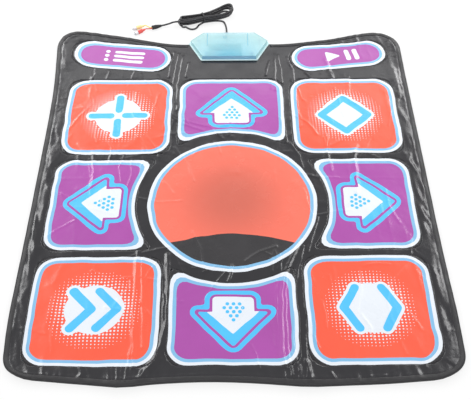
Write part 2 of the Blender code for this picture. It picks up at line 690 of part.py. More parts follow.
def screw(name, spot, head_base, tip, up, finish):
    """A pan-head screw from under its head to its tip; up is 1 if it points up, -1 if down."""
    length = abs(tip - head_base)
    head = SCREW_HEAD_HEIGHT
    profile = [(0, -head), (SCREW_HEAD_CROWN_RADIUS, -head),
               (SCREW_HEAD_RADIUS, SCREW_HEAD_CROWN_HEIGHT - head),
               (SCREW_HEAD_RADIUS, 0), (SCREW_RADIUS, 0), (SCREW_RADIUS, length - SCREW_RADIUS), (0, length)]
    return turned(name, profile, (spot[0], spot[1], head_base), (0, 0, up), finish, SMALL_SEGMENTS)


def build_screws(finish):
    head_base = COUNTERBORE_DEPTH - TOUCH_GAP
    for number, spot in enumerate(case_screw_spots(), start=1):
        screw("case_screw_%d" % number, spot, head_base, BOX_SPLIT + SCREW_BITE, 1, finish)
    for number, spot in enumerate(clamp_screw_spots(), start=1):
        base = CLAMP_LEVEL + CLAMP_HEIGHT + TOUCH_GAP
        screw("clamp_screw_%d" % number, spot, base, TOUCH_GAP, -1, finish)


def build_board(finishes):
    """Circuit board on the tray's floor, the bar that clamps the film, and the parts on the board."""
    left = BOARD_X - BOARD_WIDTH / 2
    size = (BOARD_WIDTH, BOARD_BACK_Y - BOARD_FRONT_Y, BOARD_TOP - BOARD_LEVEL)
    board = block("circuit_board", (left, BOARD_FRONT_Y, BOARD_LEVEL), size, finishes["board"])
    clamp_corner = (BOARD_X - CLAMP_WIDTH / 2, BOARD_FRONT_Y + CLAMP_SETBACK, CLAMP_LEVEL)
    clamp = block("film_clamp_bar", clamp_corner, (CLAMP_WIDTH, CLAMP_DEPTH, CLAMP_HEIGHT), finishes["clear"])
    bore = SCREW_RADIUS + SCREW_CLEARANCE
    for spot in clamp_screw_spots():
        for piece in (board, clamp):
            way = post("way", spot, [(bore, -BOX_HEIGHT), (bore, BOX_HEIGHT)], finishes["steel"])
            shape_with(piece, way, "DIFFERENCE")

    def on_board(spot, size):
        return (BOARD_X + spot[0] - size[0] / 2, BOARD_FRONT_Y + spot[1], PART_LEVEL)

    chip = on_board(CHIP_SPOT, CHIP_SIZE)
    block("controller_chip", chip, CHIP_SIZE, finishes["black_plastic"], SMALL_PART_EDGE)
    can = on_board(RESONATOR_SPOT, RESONATOR_SIZE)
    block("resonator", can, RESONATOR_SIZE, finishes["steel"], RESONATOR_EDGE)
    cap_spot = (BOARD_X + CAPACITOR_SPOT[0], BOARD_FRONT_Y + CAPACITOR_SPOT[1])
    sleeve = [(CAPACITOR_RADIUS, PART_LEVEL), (CAPACITOR_RADIUS, PART_LEVEL + CAPACITOR_HEIGHT)]
    post("filter_capacitor", cap_spot, sleeve, finishes["black_plastic"])
    foot = LIGHT_RADIUS + LIGHT_FLANGE
    dome = [(0, 0), (foot, 0), (foot, LIGHT_FLANGE_HEIGHT), (LIGHT_RADIUS, LIGHT_FLANGE_HEIGHT),
            (LIGHT_RADIUS, LIGHT_HEIGHT - LIGHT_RADIUS),
            (LIGHT_CROWN_RADIUS, LIGHT_HEIGHT - LIGHT_CROWN_HEIGHT), (0, LIGHT_HEIGHT)]
    light_spot = (BOARD_X + LIGHT_SPOT[0], BOARD_FRONT_Y + LIGHT_SPOT[1], PART_LEVEL)
    turned("status_light", dome, light_spot, (0, 0, 1), finishes["red"], SMALL_SEGMENTS)
    socket = (RELIEF_X - SOCKET_SIZE[0] / 2, BOARD_BACK_Y - SOCKET_SIZE[1], PART_LEVEL)
    block("lead_socket", socket, SOCKET_SIZE, finishes["white_plastic"], SMALL_PART_EDGE)


# The lead

def from_exit(x, y, z=0.0):
    """World place of a point given from where the lead leaves the box."""
    return Vector((RELIEF_X + x, BOX_BACK_Y + y, z))


def build_strain_relief(finish):
    """Grommet held in the back wall between the two shells."""
    wall_in = BOX_BACK_Y - BOX_RIM - BOX_WALL - BOX_DRAFT
    inner = wall_in - TOUCH_GAP - RELIEF_FLANGE_THICK
    outer = BOX_BACK_Y + TOUCH_GAP
    profile = [(0, inner), (RELIEF_FLANGE_RADIUS, inner), (RELIEF_FLANGE_RADIUS, wall_in - TOUCH_GAP),
               (RELIEF_NECK_RADIUS, wall_in - TOUCH_GAP), (RELIEF_NECK_RADIUS, outer),
               (RELIEF_COLLAR_RADIUS, outer), (RELIEF_COLLAR_RADIUS, outer + RELIEF_COLLAR_THICK),
               (RELIEF_TIP_RADIUS, relief_tip()), (0, relief_tip())]
    turned("strain_relief", profile, (RELIEF_X, 0, RELIEF_Z), (0, 1, 0), finish)
    return inner


def relief_tip():
    return BOX_BACK_Y + TOUCH_GAP + RELIEF_COLLAR_THICK + RELIEF_TAPER


def tube(name, points, diameter, finish, rounding=2):
    """A round cord as a curve with a point list of its own."""
    curve = bpy.data.curves.new(name, "CURVE")
    curve.dimensions = "3D"
    curve.bevel_depth = diameter / 2
    curve.bevel_resolution = rounding
    curve.use_fill_caps = True
    spline = curve.splines.new("POLY")
    spline.points.add(len(points) - 1)
    for target, point in zip(spline.points, points):
        target.co = (*point, 1)
    curve.materials.append(finish)
    thing = bpy.data.objects.new(name, curve)
    bpy.context.scene.collection.objects.link(thing)
    return thing


def smooth_route(route, spacing):
    """Evenly spaced points on a smooth curve through a route whose first and last pieces are straight."""
    knots = [Vector(p) for p in route]
    fine = []
    for a, b, c, d in zip(knots, knots[1:], knots[2:], knots[3:]):
        for i in range(ROUTE_STEPS):
            t = i / ROUTE_STEPS
            fine.append(0.5 * (2 * b + (c - a) * t + (2 * a - 5 * b + 4 * c - d) * t ** 2
                               + (3 * b - a - 3 * c + d) * t ** 3))
    fine.append(knots[-2])
    lengths = [0.0]
    for a, b in zip(fine, fine[1:]):
        lengths.append(lengths[-1] + (b - a).length)
    count = max(4, round(lengths[-1] / spacing))
    points = []
    k = 0
    for i in range(count + 1):
        target = lengths[-1] * i / count
        while k < len(fine) - 2 and lengths[k + 1] < target:
            k += 1
        share = (target - lengths[k]) / (lengths[k + 1] - lengths[k])
        points.append(fine[k].lerp(fine[k + 1], share))
    return [knots[0]] + points + [knots[-1]]


def tri_wave(turn):
    """How many pitches the winding lies inside its widest loop at a given turn."""
    phase = (turn - HANK_FIRST_REVERSE) / HANK_LAYER_TURNS
    return HANK_LAYER_TURNS * abs(1 - (phase % 2)) if phase > 0 else HANK_LAYER_TURNS * (1 + phase)


def layer_of(turn):
    """Layer that the winding lies in; it climbs along the run where the spiral reverses."""
    layer = 0.0
    reverse = HANK_FIRST_REVERSE
    while reverse < HANK_LAST_TURN:
        share = min(max((turn - reverse) / 0.25 + 0.5, 0.0), 1.0)
        layer += share * share * (3 - 2 * share)
        reverse += HANK_LAYER_TURNS
    return layer


def hank_half_width(along):
    """Half width of the widest loop at a place along the hank, from its left end."""
    share = along / HANK_LENGTH
    straight = HANK_LEFT_RADIUS + (HANK_RIGHT_RADIUS - HANK_LEFT_RADIUS) * share
    waist = HANK_INNER_HALF + HANK_LAYER_TURNS * HANK_PITCH
    near = max(0.0, 1 - abs(share - HANK_WAIST) / HANK_WAIST_REACH)
    pull = math.sin(near * math.pi / 2) ** 2
    return straight + (waist - straight) * pull, pull


def hank_point(turn):
    """A point of the winding, as distances along and across the hank and a height."""
    inside = tri_wave(turn) * HANK_PITCH
    layer = layer_of(turn)
    left = HANK_LEFT_RADIUS
    right = HANK_LENGTH - HANK_RIGHT_RADIUS
    quarter, share = divmod((turn % 1.0) * 4, 1.0)
    high = layer / layer_of(HANK_LAST_TURN)
    pull = 0.0
    spring = 0.0
    if quarter == 0:
        along = right + (left - right) * share
        half, pull = hank_half_width(along)
        across = inside - half
    elif quarter == 2:
        along = left + (right - left) * share
        half, pull = hank_half_width(along)
        across = half - inside
    else:
        radius = HANK_LEFT_RADIUS if quarter == 1 else HANK_RIGHT_RADIUS
        half, _ = hank_half_width(left if quarter == 1 else right)
        reach = radius - inside
        if quarter == 1:
            along = left - reach * math.sin(math.pi * share)
            across = -(half - inside) * math.cos(math.pi * share)
        else:
            along = right + (reach + HANK_FAN * high) * math.sin(math.pi * share)
            across = (half - inside) * math.cos(math.pi * share)
            spring = HANK_SPRING * high * math.sin(math.pi * share) ** 2
    height = LEAD_DIAMETER / 2 + layer * HANK_LAYER + (TIE_THICK + 2 * TIE_GAP) * pull + spring
    return along, across, height


def hank_place(along, across, height):
    """World place of a point given along, across and above the hank's bent middle line."""
    ahead = Vector((math.cos(HANK_ANGLE), math.sin(HANK_ANGLE)))
    aside = Vector((-ahead.y, ahead.x))
    half = HANK_LENGTH / 2
    radius = (half ** 2 + HANK_SAG ** 2) / (2 * HANK_SAG)
    angle = (along - half) / radius
    level = half + (radius - across) * math.sin(angle)
    offset = radius - (radius - across) * math.cos(angle) - HANK_SAG
    spot = Vector(HANK_LEFT_END) + ahead * level + aside * offset
    return from_exit(spot.x, spot.y, height)


def hank_points():
    """Centre line of the wound lead, with a straight piece one diameter long at both ends."""
    count = round((HANK_LAST_TURN - HANK_FIRST_TURN) * HANK_POINTS_PER_TURN)
    points = []
    for i in range(count + 1):
        turn = HANK_FIRST_TURN + (HANK_LAST_TURN - HANK_FIRST_TURN) * i / count
        points.append(hank_place(*hank_point(turn)))
    first = points[0] + (points[0] - points[1]).normalized() * LEAD_DIAMETER
    last = points[-1] + (points[-1] - points[-2]).normalized() * LEAD_DIAMETER
    return [first] + points + [last]


def segment_distance(p1, p2, q1, q2):
    """Least distance between two straight segments."""
    u, v, w = p2 - p1, q2 - q1, p1 - q1
    a, b, c, d, e = u.dot(u), u.dot(v), v.dot(v), u.dot(w), v.dot(w)
    denominator = a * c - b * b
    s = min(max((b * e - c * d) / denominator, 0.0), 1.0) if denominator > 0.0 else 0.0
    t = min(max((b * s + e) / c, 0.0), 1.0)
    s = min(max((b * t - d) / a, 0.0), 1.0)
    return (w + u * s - v * t).length


def print_least_gap(points, diameter):
    """Prints the least gap of a wound cord to itself, leaving out its own neighbouring stretch."""
    places = [0.0]
    for a, b in zip(points, points[1:]):
        places.append(places[-1] + (b - a).length)
    least = 1.0
    for i in range(len(points) - 1):
        for j in range(i + 1, len(points) - 1):
            if places[j] - places[i + 1] > HANK_OWN_STRETCH * diameter:
                distance = segment_distance(points[i], points[i + 1], points[j], points[j + 1])
                least = min(least, distance - diameter)
    print("hank: length %.3f m, least gap to itself %.2f mm" % (places[-1], least * 1000))
    if least < HANK_LEAST_GAP:
        print("hank: the gap is under %.2f mm" % (HANK_LEAST_GAP * 1000))


def build_tie(finish):
    """Band round the waist of the hank."""
    along = HANK_WAIST * HANK_LENGTH
    outer, pull = hank_half_width(along)
    lift = (TIE_THICK + 2 * TIE_GAP) * pull
    layers = layer_of(HANK_LAST_TURN)
    radius = LEAD_DIAMETER / 2
    half_wide = outer + radius + TIE_GAP
    low = lift - TIE_GAP
    high = lift + 2 * radius + layers * HANK_LAYER + TIE_GAP
    corner = radius + TIE_GAP
    section = [(-half_wide, low), (half_wide, low), (half_wide, high), (-half_wide, high)]
    inner = round_corners(section, corner, TIE_CORNER_STEPS)
    around = round_corners(inset_polygon(section, -TIE_THICK), corner + TIE_THICK, TIE_CORNER_STEPS)
    rings = []
    for (x0, z0), (x1, z1) in zip(inner, around):
        rings.append([hank_place(along - TIE_WIDTH / 2, x0, z0), hank_place(along + TIE_WIDTH / 2, x0, z0),
                      hank_place(along + TIE_WIDTH / 2, x1, z1), hank_place(along - TIE_WIDTH / 2, x1, z1)])
    bm = bmesh.new()
    loops = [[bm.verts.new(point) for point in ring] for ring in rings]
    for low_ring, high_ring in zip(loops, loops[1:] + loops[:1]):
        for i in range(4):
            j = (i + 1) % 4
            bm.faces.new((low_ring[i], low_ring[j], high_ring[j], high_ring[i]))
    add_object("hank_tie", bm, finish)


def flat(pair):
    return Vector((pair[0], pair[1], 0)).normalized()


def build_lead(finishes):
    """The lead from the box to the hank, the hank, and the lead on to the splitting sleeve."""
    black = finishes["cord"]
    inner_face = build_strain_relief(finishes["rubber"])
    socket_face = BOARD_BACK_Y + TOUCH_GAP
    socket_z = PART_LEVEL + SOCKET_SIZE[2] / 2
    inside = [(RELIEF_X, inner_face - TOUCH_GAP, RELIEF_Z),
              (RELIEF_X, inner_face - INNER_LEAD_STRAIGHT, RELIEF_Z),
              (RELIEF_X, socket_face + INNER_LEAD_STRAIGHT, socket_z), (RELIEF_X, socket_face, socket_z)]
    tube("inner_lead", smooth_route(inside, LEAD_DIAMETER), BRANCH_DIAMETER, black)

    winding = hank_points()
    tube("lead_hank", winding, LEAD_DIAMETER, black, rounding=1)
    print_least_gap(winding, LEAD_DIAMETER)
    entry = (winding[1] - winding[0]).normalized()
    leaving = (winding[-1] - winding[-2]).normalized()

    start = Vector((RELIEF_X, relief_tip() + TOUCH_GAP, RELIEF_Z))
    join = winding[0] - entry * TOUCH_GAP
    on_floor = LEAD_DIAMETER / 2 + TOUCH_GAP
    out_route = [start, start + Vector((0, LEAD_DIAMETER, 0))]
    out_route += [from_exit(x, y, on_floor) for x, y in FLOOR_ROUTE]
    out_route += [hank_place(*hank_point(turn)) for turn in FRONT_TURNS]
    out_route += [hank_place(along, across, on_floor) for along, across in SIDE_LOOP]
    out_route += [join - entry * LEAD_DIAMETER, join]
    tube("lead_to_hank", smooth_route(out_route, LEAD_STEP * LEAD_DIAMETER), LEAD_DIAMETER, black)

    heading = flat(SLEEVE_HEADING)
    sleeve_start = from_exit(*SLEEVE_START)
    away = winding[-1] + leaving * TOUCH_GAP
    tail_end = sleeve_start - heading * TOUCH_GAP
    tail_route = [away, away + leaving * LEAD_DIAMETER]
    tail_route += [from_exit(*point) for point in TAIL_ROUTE]
    tail_route += [tail_end - heading * SLEEVE_LEAD_STRAIGHT, tail_end]
    tube("lead_tail", smooth_route(tail_route, LEAD_STEP * LEAD_DIAMETER), LEAD_DIAMETER, black)
    sleeve = [(0, 0), (SLEEVE_NARROW_RADIUS, 0), (SLEEVE_WIDE_RADIUS, SLEEVE_TAPER_LENGTH),
              (SLEEVE_WIDE_RADIUS, SLEEVE_LENGTH), (0, SLEEVE_LENGTH)]
    turned("split_sleeve", sleeve, sleeve_start, heading, finishes["rubber"])
    build_branches(sleeve_start + heading * (SLEEVE_LENGTH + TOUCH_GAP), heading, finishes)


def build_branches(fork, heading, finishes):
    """Two thin leads that leave the sleeve side by side, each with its plug."""
    aside = Vector((heading.y, -heading.x, 0))
    branches = [
        ("red", -1, RED_PLUG_START, RED_PLUG_HEADING),
        ("yellow", 1, YELLOW_PLUG_START, YELLOW_PLUG_HEADING),
    ]
    for name, side, plug_spot, plug_heading in branches:
        ahead = flat(plug_heading)
        plug_start = from_exit(*plug_spot, PLUG_RADIUS + PLUG_LIFT)
        leave = fork + aside * side * BRANCH_SPREAD
        arrive = plug_start - ahead * TOUCH_GAP
        route = [leave, leave + heading * BRANCH_STRAIGHT, arrive - ahead * BRANCH_STRAIGHT, arrive]
        branch = smooth_route(route, LEAD_STEP * BRANCH_DIAMETER)
        tube(name + "_lead", branch, BRANCH_DIAMETER, finishes[name])
        body_length = PLUG_BOOT_LENGTH + PLUG_BARREL_LENGTH
        body = [(0, 0), (PLUG_BOOT_RADIUS, 0), (PLUG_BOOT_WIDE_RADIUS, PLUG_BOOT_RIDGE),
                (PLUG_RADIUS, PLUG_BOOT_LENGTH), (PLUG_RADIUS, body_length), (0, body_length)]
        turned(name + "_plug_body", body, plug_start, ahead, finishes[name])
        contact = [(0, 0), (PLUG_RING_RADIUS, 0), (PLUG_RING_RADIUS, PLUG_RING_LENGTH),
                   (PLUG_RING_RADIUS - PLUG_RING_WALL, PLUG_RING_LENGTH),
                   (PLUG_RING_RADIUS - PLUG_RING_WALL, PLUG_BASE_THICK), (PLUG_PIN_RADIUS, PLUG_BASE_THICK),
                   (PLUG_PIN_RADIUS, PLUG_PIN_LENGTH - PLUG_PIN_RADIUS), (0, PLUG_PIN_LENGTH)]
        contact_start = plug_start + ahead * (body_length + TOUCH_GAP)
        turned(name + "_plug_contact", contact, contact_start, ahead, finishes["steel"])


def make_finishes():
    return {
        "black_skin": make_finish("black_skin", (0.035, 0.033, 0.035), 0.38),
        "binding": make_finish("binding", (0.030, 0.030, 0.032), 0.65),
        "non_slip": make_finish("non_slip", (0.020, 0.020, 0.022), 0.85),
        "foam": make_finish("foam", (0.60, 0.60, 0.58), 0.95),
        "film": make_finish("film", (0.62, 0.66, 0.68), 0.30),
        "carbon": make_finish("carbon", (0.04, 0.04, 0.045), 0.60),
        "coral": make_finish("coral", (0.95, 0.20, 0.14), 0.35),
        "violet": make_finish("violet", (0.42, 0.12, 0.42), 0.35),
        "clear": make_finish("clear", (0.40, 0.75, 0.88), 0.15, alpha=0.6),
        "board": make_finish("board", (0.05, 0.42, 0.40), 0.45),
        "steel": make_finish("steel", (0.62, 0.62, 0.62), 0.30, metallic=1.0),
        "black_plastic": make_finish("black_plastic", (0.02, 0.02, 0.02), 0.45),
        "white_plastic": make_finish("white_plastic", (0.80, 0.80, 0.78), 0.45),
        "rubber": make_finish("rubber", (0.03, 0.03, 0.03), 0.60),
        "cord": make_finish("cord", (0.025, 0.025, 0.027), 0.45),
        "red": make_finish("red", (0.75, 0.08, 0.08), 0.35),
        "yellow": make_finish("yellow", (0.90, 0.70, 0.12), 0.35),
    }


def build():
    clear_scene()
    finishes = make_finishes()
    build_base_sheet(finishes["non_slip"])
    build_foam_sheet(finishes["foam"])
    build_contact_film(finishes["film"])
    build_spacer(finishes["foam"])
    build_top_sheet(finishes["black_skin"])
    build_edge_binding(finishes["binding"])
    build_pads(finishes)
    build_lower_shell(finishes["clear"])
    build_upper_shell(finishes["clear"])
    build_screws(finishes["steel"])
    build_board(finishes)
    build_lead(finishes)
    build_tie(finishes["rubber"])


build()
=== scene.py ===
# %% [markdown]
# # A dance mat with its control box
#
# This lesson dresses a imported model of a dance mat: a soft printed vinyl mat, a clear blue control box
# at its back edge and a lead folded into a hank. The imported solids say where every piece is. Each cell
# gives one piece or one finish the look of the real one.

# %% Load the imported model
from math import atan2, ceil, cos, dist, hypot, pi, radians, sin, sqrt, tan

import bmesh
import bpy
import numpy as np
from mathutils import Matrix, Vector, kdtree
from mathutils.geometry import delaunay_2d_cdt


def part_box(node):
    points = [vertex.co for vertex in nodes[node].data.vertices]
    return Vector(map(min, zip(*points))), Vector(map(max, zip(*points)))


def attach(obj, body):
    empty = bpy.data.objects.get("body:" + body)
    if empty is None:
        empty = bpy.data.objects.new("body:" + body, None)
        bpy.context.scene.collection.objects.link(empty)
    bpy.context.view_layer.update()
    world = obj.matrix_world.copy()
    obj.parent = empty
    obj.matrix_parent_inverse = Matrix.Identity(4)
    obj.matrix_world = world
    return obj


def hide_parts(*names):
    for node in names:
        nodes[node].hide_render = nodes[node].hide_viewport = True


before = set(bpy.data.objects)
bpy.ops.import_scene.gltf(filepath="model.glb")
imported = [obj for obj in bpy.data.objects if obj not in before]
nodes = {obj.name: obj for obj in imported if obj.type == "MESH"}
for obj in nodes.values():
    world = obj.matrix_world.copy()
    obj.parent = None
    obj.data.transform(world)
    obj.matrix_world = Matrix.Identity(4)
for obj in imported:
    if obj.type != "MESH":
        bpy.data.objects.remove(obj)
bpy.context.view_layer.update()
print("packed solids:", len(nodes))


def middle_of(node):
    """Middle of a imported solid's box."""
    return [(low + high) / 2 for low, high in zip(*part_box(node))]


def put(name, data):
    """A new object in the scene."""
    thing = bpy.data.objects.new(name, data)
    bpy.context.scene.collection.objects.link(thing)
    return thing


def mesh_piece(name, points, edges, faces, finishes=()):
    """A new object with a plain mesh."""
    mesh = bpy.data.meshes.new(name)
    mesh.from_pydata(points, edges, faces)
    for finish in finishes:
        mesh.materials.append(finish)
    return put(name, mesh)


def shaded(piece, sharp_from=None):
    """Smooth shading; edges that turn by more than sharp_from degrees stay sharp."""
    piece.data.shade_smooth()
    if sharp_from:
        piece.data.set_sharp_from_angle(angle=radians(sharp_from))
    return piece


# %% [markdown]
# The photograph looks down on the mat from its front edge. A long lens far away keeps the sides of the
# mat nearly parallel. The place and tilt below were worked out from the mat's own corners.

# %% Camera
CAMERA_PLACE = (-0.0021, -1.126, 1.2866)
CAMERA_TILT = radians(39.8)
CAMERA_TURN = radians(-0.465)
CAMERA_LENS = 62.03

camera = put("camera", bpy.data.cameras.new("camera"))
camera.location = CAMERA_PLACE
camera.rotation_euler = (CAMERA_TILT, 0.0, CAMERA_TURN)
camera.data.lens = CAMERA_LENS
bpy.context.scene.camera = camera
bpy.context.scene.view_settings.view_transform = "Standard"

# %% [markdown]
# A finish is a small tree of shader nodes. One helper adds a node and fills its sockets, with a value
# or with a link. Another starts a finish from the colour that the eye sees.

# %% Helpers for finishes


def paint(red, green, blue):
    """Screen colour, each part from 0 to 255, in the linear light that shaders use."""
    return tuple((part / 255) ** 2.2 for part in (red, green, blue))


def fill(node, inputs):
    """Fills sockets with values, with links to other sockets, or with links to the first one of a node."""
    for key, value in inputs.items():
        if isinstance(value, bpy.types.Node):
            value = value.outputs[0]
        if isinstance(value, bpy.types.NodeSocket):
            node.id_data.links.new(value, node.inputs[key])
        else:
            node.inputs[key].default_value = value
    return node


def add_node(tree, kind, inputs=None, **settings):
    """A new node with its sockets filled; a kind without the word Node is a shader's."""
    node = tree.nodes.new(kind if "Node" in kind else "ShaderNode" + kind)
    for name, value in settings.items():
        setattr(node, name, value)
    return fill(node, inputs or {})


def two_tones(tree, share, low, high, stops=(0.0, 1.0)):
    """Colour that goes from one tone to another as a share rises between two stops."""
    ramp = add_node(tree, "ValToRGB", {"Fac": share})
    for element, stop, tone in zip(ramp.color_ramp.elements, stops, (low, high)):
        element.position = stop
        element.color = (*tone, 1)
    return ramp


def mottled(tree, place, colour, scale, change):
    """Colour that drifts darker and lighter over a soft noise."""
    cloud = add_node(tree, "TexNoise", {"Vector": place, "Scale": scale, "Detail": 4.0})
    dark = [part * (1 - change) for part in colour]
    light = [min(part * (1 + change), 1.0) for part in colour]
    return two_tones(tree, cloud, dark, light, (0.3, 0.7))


def varied(tree, place, scale, low, high):
    """A number that drifts between two values."""
    cloud = add_node(tree, "TexNoise", {"Vector": place, "Scale": scale, "Detail": 5.0})
    spread = {"Value": cloud, "From Min": 0.3, "From Max": 0.7, "To Min": low, "To Max": high}
    return add_node(tree, "MapRange", spread)


def embossed(tree, place, layers):
    """Bumps of several sizes, each given by its noise scale and its depth in metres."""
    below = {}
    for scale, depth in layers:
        grain = add_node(tree, "TexNoise", {"Vector": place, "Scale": scale, "Detail": 2.0})
        sockets = {"Height": grain, "Distance": depth, "Strength": 1.0, **below}
        below = {"Normal": add_node(tree, "Bump", sockets)}
    return below["Normal"]


def new_finish(name, colour, rough, mottle=(12.0, 0.05), rough_scale=30.0, bumps=((600.0, 0.00002),),
               **shader):
    """A finish with drifting colour, drifting gloss and fine bumps; shader holds sockets set as they are."""
    finish = bpy.data.materials.new(name)
    finish.use_nodes = True
    tree = finish.node_tree
    place = add_node(tree, "TexCoord").outputs["Object"]
    fill(tree.nodes["Principled BSDF"], {
        "Base Color": mottled(tree, place, paint(*colour), *mottle),
        "Roughness": varied(tree, place, rough_scale, *rough),
        "Normal": embossed(tree, place, bumps), **shader})
    return finish


def tint_by_distance(finish, spot, sizes, reach, inner, outer, **settings):
    """Blends a finish from an inner to an outer colour, by the distance from a spot seen from above."""
    tree = finish.node_tree
    place = add_node(tree, "TexCoord").outputs["Object"]
    sockets = {"Vector": place, "Location": (*spot, 0), "Scale": (*sizes, 1)}
    centred = add_node(tree, "Mapping", sockets, vector_type="TEXTURE")
    flat = add_node(tree, "VectorMath", {0: centred, 1: (1, 1, 0)}, operation="MULTIPLY")
    away = add_node(tree, "VectorMath", {0: flat}, operation="LENGTH").outputs["Value"]
    spread = {"Value": away, "From Min": reach[0], "From Max": reach[1]}
    share = add_node(tree, "MapRange", spread, **settings)
    colour = two_tones(tree, share, paint(*inner), paint(*outer))
    fill(tree.nodes["Principled BSDF"], {"Base Color": colour})


# %% Faces between rings of points


def add_shell(bm, rings, finish=0, bands=None, round_about=False):
    """Joins rings of equal length by bands of faces, and closes both ends or the last ring to the first."""
    rows = [[bm.verts.new(point) for point in ring] for ring in rings]
    pairs = list(zip(rows, rows[1:]))
    if round_about:
        pairs.append((rows[-1], rows[0]))
    else:
        for row in (rows[0], rows[-1]):
            bm.faces.new(row).material_index = finish
    for (lower, upper), band in zip(pairs, bands or [finish] * len(pairs)):
        for k in range(len(lower)):
            bm.faces.new((lower[k - 1], lower[k], upper[k], upper[k - 1])).material_index = band


def finished(bm, name, finishes, sharp_from=None):
    """Turns a bmesh into a piece whose faces look outwards."""
    bmesh.ops.recalc_face_normals(bm, faces=bm.faces[:])
    piece = mesh_piece(name, [], [], [], finishes)
    bm.to_mesh(piece.data)
    bm.free()
    return shaded(piece, sharp_from)


# %% [markdown]
# The lead comes first, because a free cord has a real length that the whole scene must respect. It
# leaves the box through its strain relief, curves round to the hank, runs through all the turns of
# the hank and comes out at the sleeve where it splits. On the real mat this is one unbroken cord, so
# it is one curve here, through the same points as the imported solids.

# %% Places and sizes behind the box
LEAD_DIAMETER = 0.0046
BRANCH_DIAMETER = 0.0026
TOUCH_GAP = 0.0003
BOX_LOW, BOX_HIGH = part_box("box_upper_shell")
BOX_X = middle_of("box_upper_shell")[0]
BOX_FRONT_Y, BOX_BACK_Y = BOX_LOW[1], BOX_HIGH[1]
RELIEF_X, _, RELIEF_Z = middle_of("strain_relief")
LEAD_STEP = 0.0025

FLOOR_ROUTE = ((-0.0012, 0.0345), (-0.0038, 0.0470), (-0.0085, 0.0570), (-0.0180, 0.0607))
FRONT_TURNS = (0.08, 0.10, 0.12, 0.14)
SIDE_LOOP = ((0.0560, -0.0095), (0.0495, -0.0140), (0.0445, -0.0210), (0.0380, -0.0262),
             (0.0305, -0.0262), (0.0240, -0.0215), (0.0189, -0.0158))
TAIL_ROUTE = ((-0.1290, 0.0430, 0.0140), (-0.1420, 0.0440, 0.0085))
SLEEVE_START = (-0.1635, 0.0390, 0.0056)
SLEEVE_HEADING = (-0.942, -0.335)
SLEEVE_LENGTH = 0.024
SLEEVE_LEAD_STRAIGHT = 0.0092

HANK_LEFT_END = (-0.1240, 0.0520)
HANK_ANGLE = radians(20.0)
HANK_LENGTH = 0.1460
HANK_SAG = 0.0140
HANK_LEFT_RADIUS = 0.0130
HANK_RIGHT_RADIUS = 0.0190
HANK_PITCH = 0.0056
HANK_LAYER = 0.0052
HANK_INNER_HALF = 0.0028
HANK_LAYER_TURNS = 1.5
HANK_FIRST_TURN = 0.30
HANK_FIRST_REVERSE = 1.125
HANK_LAST_TURN = 5.22
HANK_POINTS_PER_TURN = 24
HANK_WAIST = 0.44
HANK_WAIST_REACH = 0.34
HANK_FAN = 0.0030
HANK_SPRING = 0.0050
TIE_THICK = 0.0009
TIE_GAP = 0.0007
TIE_WIDTH = 0.0032

# %% The winding of the hank


def from_exit(x, y, z=0.0):
    """World place of a point given from where the lead leaves the box."""
    return Vector((RELIEF_X + x, BOX_BACK_Y + y, z))


def pitches_inside(turn):
    """How many pitches the winding lies inside its widest loop at a given turn."""
    phase = (turn - HANK_FIRST_REVERSE) / HANK_LAYER_TURNS
    return HANK_LAYER_TURNS * (abs(1 - (phase % 2)) if phase > 0 else 1 + phase)


def layer_of(turn):
    """Layer that the winding lies in; it climbs along the run where the spiral reverses."""
    layer = 0.0
    reverse = HANK_FIRST_REVERSE
    while reverse < HANK_LAST_TURN:
        share = min(max((turn - reverse) / 0.25 + 0.5, 0.0), 1.0)
        layer += share * share * (3 - 2 * share)
        reverse += HANK_LAYER_TURNS
    return layer


def hank_half_width(along):
    """Half width of the widest loop at a place along the hank, and how far the waist pulls it in."""
    share = along / HANK_LENGTH
    straight = HANK_LEFT_RADIUS + (HANK_RIGHT_RADIUS - HANK_LEFT_RADIUS) * share
    waist = HANK_INNER_HALF + HANK_LAYER_TURNS * HANK_PITCH
    near = max(0.0, 1 - abs(share - HANK_WAIST) / HANK_WAIST_REACH)
    pull = sin(near * pi / 2) ** 2
    return straight + (waist - straight) * pull, pull


def hank_point(turn):
    """A point of the winding, as distances along and across the hank and a height."""
    inwards = pitches_inside(turn) * HANK_PITCH
    layer = layer_of(turn)
    high = layer / layer_of(HANK_LAST_TURN)
    left, right = HANK_LEFT_RADIUS, HANK_LENGTH - HANK_RIGHT_RADIUS
    quarter, share = divmod((turn % 1.0) * 4, 1.0)
    sine, cosine = sin(pi * share), cos(pi * share)
    pull, spring = 0.0, 0.0
    if quarter in (0, 2):
        start, end = (right, left) if quarter == 0 else (left, right)
        along = start + (end - start) * share
        half, pull = hank_half_width(along)
        across = (half - inwards) * (quarter - 1)
    elif quarter == 1:
        along = left - (HANK_LEFT_RADIUS - inwards) * sine
        across = (inwards - hank_half_width(left)[0]) * cosine
    else:
        along = right + (HANK_RIGHT_RADIUS - inwards + HANK_FAN * high) * sine
        across = (hank_half_width(right)[0] - inwards) * cosine
        spring = HANK_SPRING * high * sine ** 2
    height = LEAD_DIAMETER / 2 + layer * HANK_LAYER + (TIE_THICK + 2 * TIE_GAP) * pull + spring
    return along, across, height


def hank_place(along, across, height):
    """World place of a point given along, across and above the hank's bent middle line."""
    ahead = Vector((cos(HANK_ANGLE), sin(HANK_ANGLE)))
    aside = Vector((-ahead.y, ahead.x))
    half = HANK_LENGTH / 2
    radius = (half ** 2 + HANK_SAG ** 2) / (2 * HANK_SAG)
    angle = (along - half) / radius
    level = half + (radius - across) * sin(angle)
    offset = radius - (radius - across) * cos(angle) - HANK_SAG
    spot = Vector(HANK_LEFT_END) + ahead * level + aside * offset
    return from_exit(spot.x, spot.y, height)


# %% One smooth line for the whole lead


